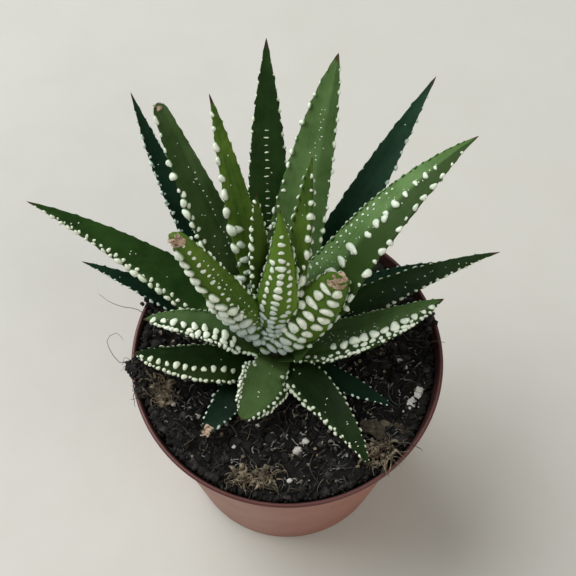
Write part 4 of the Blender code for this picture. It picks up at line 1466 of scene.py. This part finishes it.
# %% Old leaf scraps
for name in ("dry_leaf_left", "dry_leaf_right"):
    scrap = read_leaf(name)
    scrap.update(point_shape=1.4, foot=0.8, curl=0.1, broaden=1.0, fold=0, drop=0, slide=(0, 0, 0),
                 shift=np.zeros(3), blunt=False, roll=0)
    take(blank)
    bpy.ops.object.duplicate()
    piece = bpy.context.object
    along, across = np.clip(blank_points[:, 2], 0, 1), blank_points[:, 0]
    under = (blank_points[:, 1] < -1e-6).astype(float)
    place = on_leaf(scrap, along, across, under)
    wrinkle = np.array([tuple(noise.noise_vector(Vector(p) * 420)) for p in place])
    fine = np.array([tuple(noise.noise_vector(Vector(p) * 1300)) for p in place])
    piece.data.vertices.foreach_set("co", (place + wrinkle * 1.1 * MM + fine * 0.5 * MM).astype(np.float32).ravel())
    piece.data.update()
    piece.name = piece.data.name = name + "_scrap"
    finish_piece(piece, old_leaf, "dry_litter", name)
print("two old leaf scraps")

# %% Pale scrap by the right rim
# Share along the scrap, millimetres to its side, half size and flatness of each lump
LUMPS = ((0.0, 0.0, 0.9, 0.4), (0.12, 0.5, 0.7, 0.5), (0.28, 0.0, 1.0, 0.35), (0.45, -0.2, 1.15, 0.4),
         (0.62, 0.1, 1.1, 0.4), (0.8, 0.0, 0.8, 0.4), (0.97, 0.05, 0.5, 0.5), (0.1, -0.9, 0.5, 0.6),
         (-0.1, -0.5, 0.4, 0.6), (0.35, -1.9, 0.5, 0.6), (0.25, -2.3, 0.4, 0.6))
parts = []
for share, side, size, flat in LUMPS:
    x = SOIL_EDGE * (0.845 + 0.115 * share) - side * 0.6 * MM
    y = SOIL_EDGE * (-0.33 + 0.16 * share) + side * 0.8 * MM
    parts.append(crumb_copy((x, y, ground(x, y) + 0.7 * MM), size * MM, flat, 1))
scrap_root = finish_piece(gather("pale_root_scrap", parts), perlite, "dry_litter", smooth=60)
print(scrap_root.name, triangles(scrap_root), "triangles")

# %% [markdown]
# ### Spill on the rim
# On the left, a clod with roots has been pushed over the lip, and two hair roots stick out of it into the
# air.

# %% Spill and hair roots
# Bearing, share of the rim radius, spread in millimetres, how many, and the largest half size
SPILLS = ((185, 0.985, 2.2, 60, 0.75), (193, 0.94, 2.6, 60, 0.8), (190, 0.90, 2.4, 40, 0.8),
          (158, 0.955, 2.8, 50, 0.8), (14, 0.96, 2.0, 14, 0.9))
parts = []
for bearing, share, spread_by, count, big in SPILLS:
    cx, cy = at_bearing(bearing, RIM * share)
    for _ in range(count):
        x, y = cx + draw.gauss(0, spread_by * 0.4) * MM, cy + draw.gauss(0, spread_by * 0.6) * MM
        over = max(0.0, math.hypot(x, y) - RIM)
        size = draw.uniform(0.35, big) * MM
        z = max(ground(x, y), POT_TOP - 1.5 * MM) - over * 0.7 + draw.uniform(-0.2, 1.1) * MM
        parts.append(crumb_copy((x, y, z), size, 0.8, int(size > 0.8 * MM)))
spill = finish_piece(gather("rim_spill", parts), crumb_dark, "dry_litter", smooth=60)

parts = []
RIM_ROOTS, ROOT_STEP = 46, 1.0 * MM
for _ in range(RIM_ROOTS):
    x, y = at_bearing(draw.choice((184, 187, 192, 196)), RIM * draw.uniform(0.9, 1.0))
    heading = draw.uniform(0, math.tau)
    line = []
    for step in range(5):
        line.append((x, y, max(ground(x, y), POT_TOP - 0.6 * MM) + draw.uniform(0.2, 1.6) * MM))
        heading += draw.gauss(0, 0.8)
        x += ROOT_STEP * math.cos(heading)
        y += ROOT_STEP * math.sin(heading)
    parts.append(strand_copy(line, draw.uniform(0.06, 0.16) * MM))
rim_roots = finish_piece(gather("rim_roots", parts), root_brown, "dry_litter")

# Shares of the rim radius, and millimetres above the rim
HAIRS = (((-0.90, 0.28, -1.0), (-0.98, 0.32, 0.6), (-1.08, 0.33, 1.5), (-1.17, 0.37, 1.6), (-1.25, 0.445, 0.6)),
         ((-0.97, -0.02, 0.4), (-1.06, -0.06, 0.5), (-1.13, 0.02, 0.6), (-1.16, 0.11, 0.4), (-1.10, 0.16, -0.3),
          (-1.05, 0.10, -1.2)))
HAIR_THICK = 0.11 * MM
parts = [strand_copy([(x * RIM, y * RIM, POT_TOP + z * MM) for x, y, z in hair], HAIR_THICK) for hair in HAIRS]
hairs = finish_piece(gather("hair_roots", parts), root_brown, "dry_litter")
print("spill", triangles(spill), "roots", triangles(rim_roots), "hairs", triangles(hairs))

TEMPLATES = [blank, knob, cup, strand] + [shape[0] for shape in crumb_shapes]

# %% [markdown]
# ## Close
# The templates have done their work and are removed.

# %% Tidy up and finish
for template in TEMPLATES:
    remove(template)
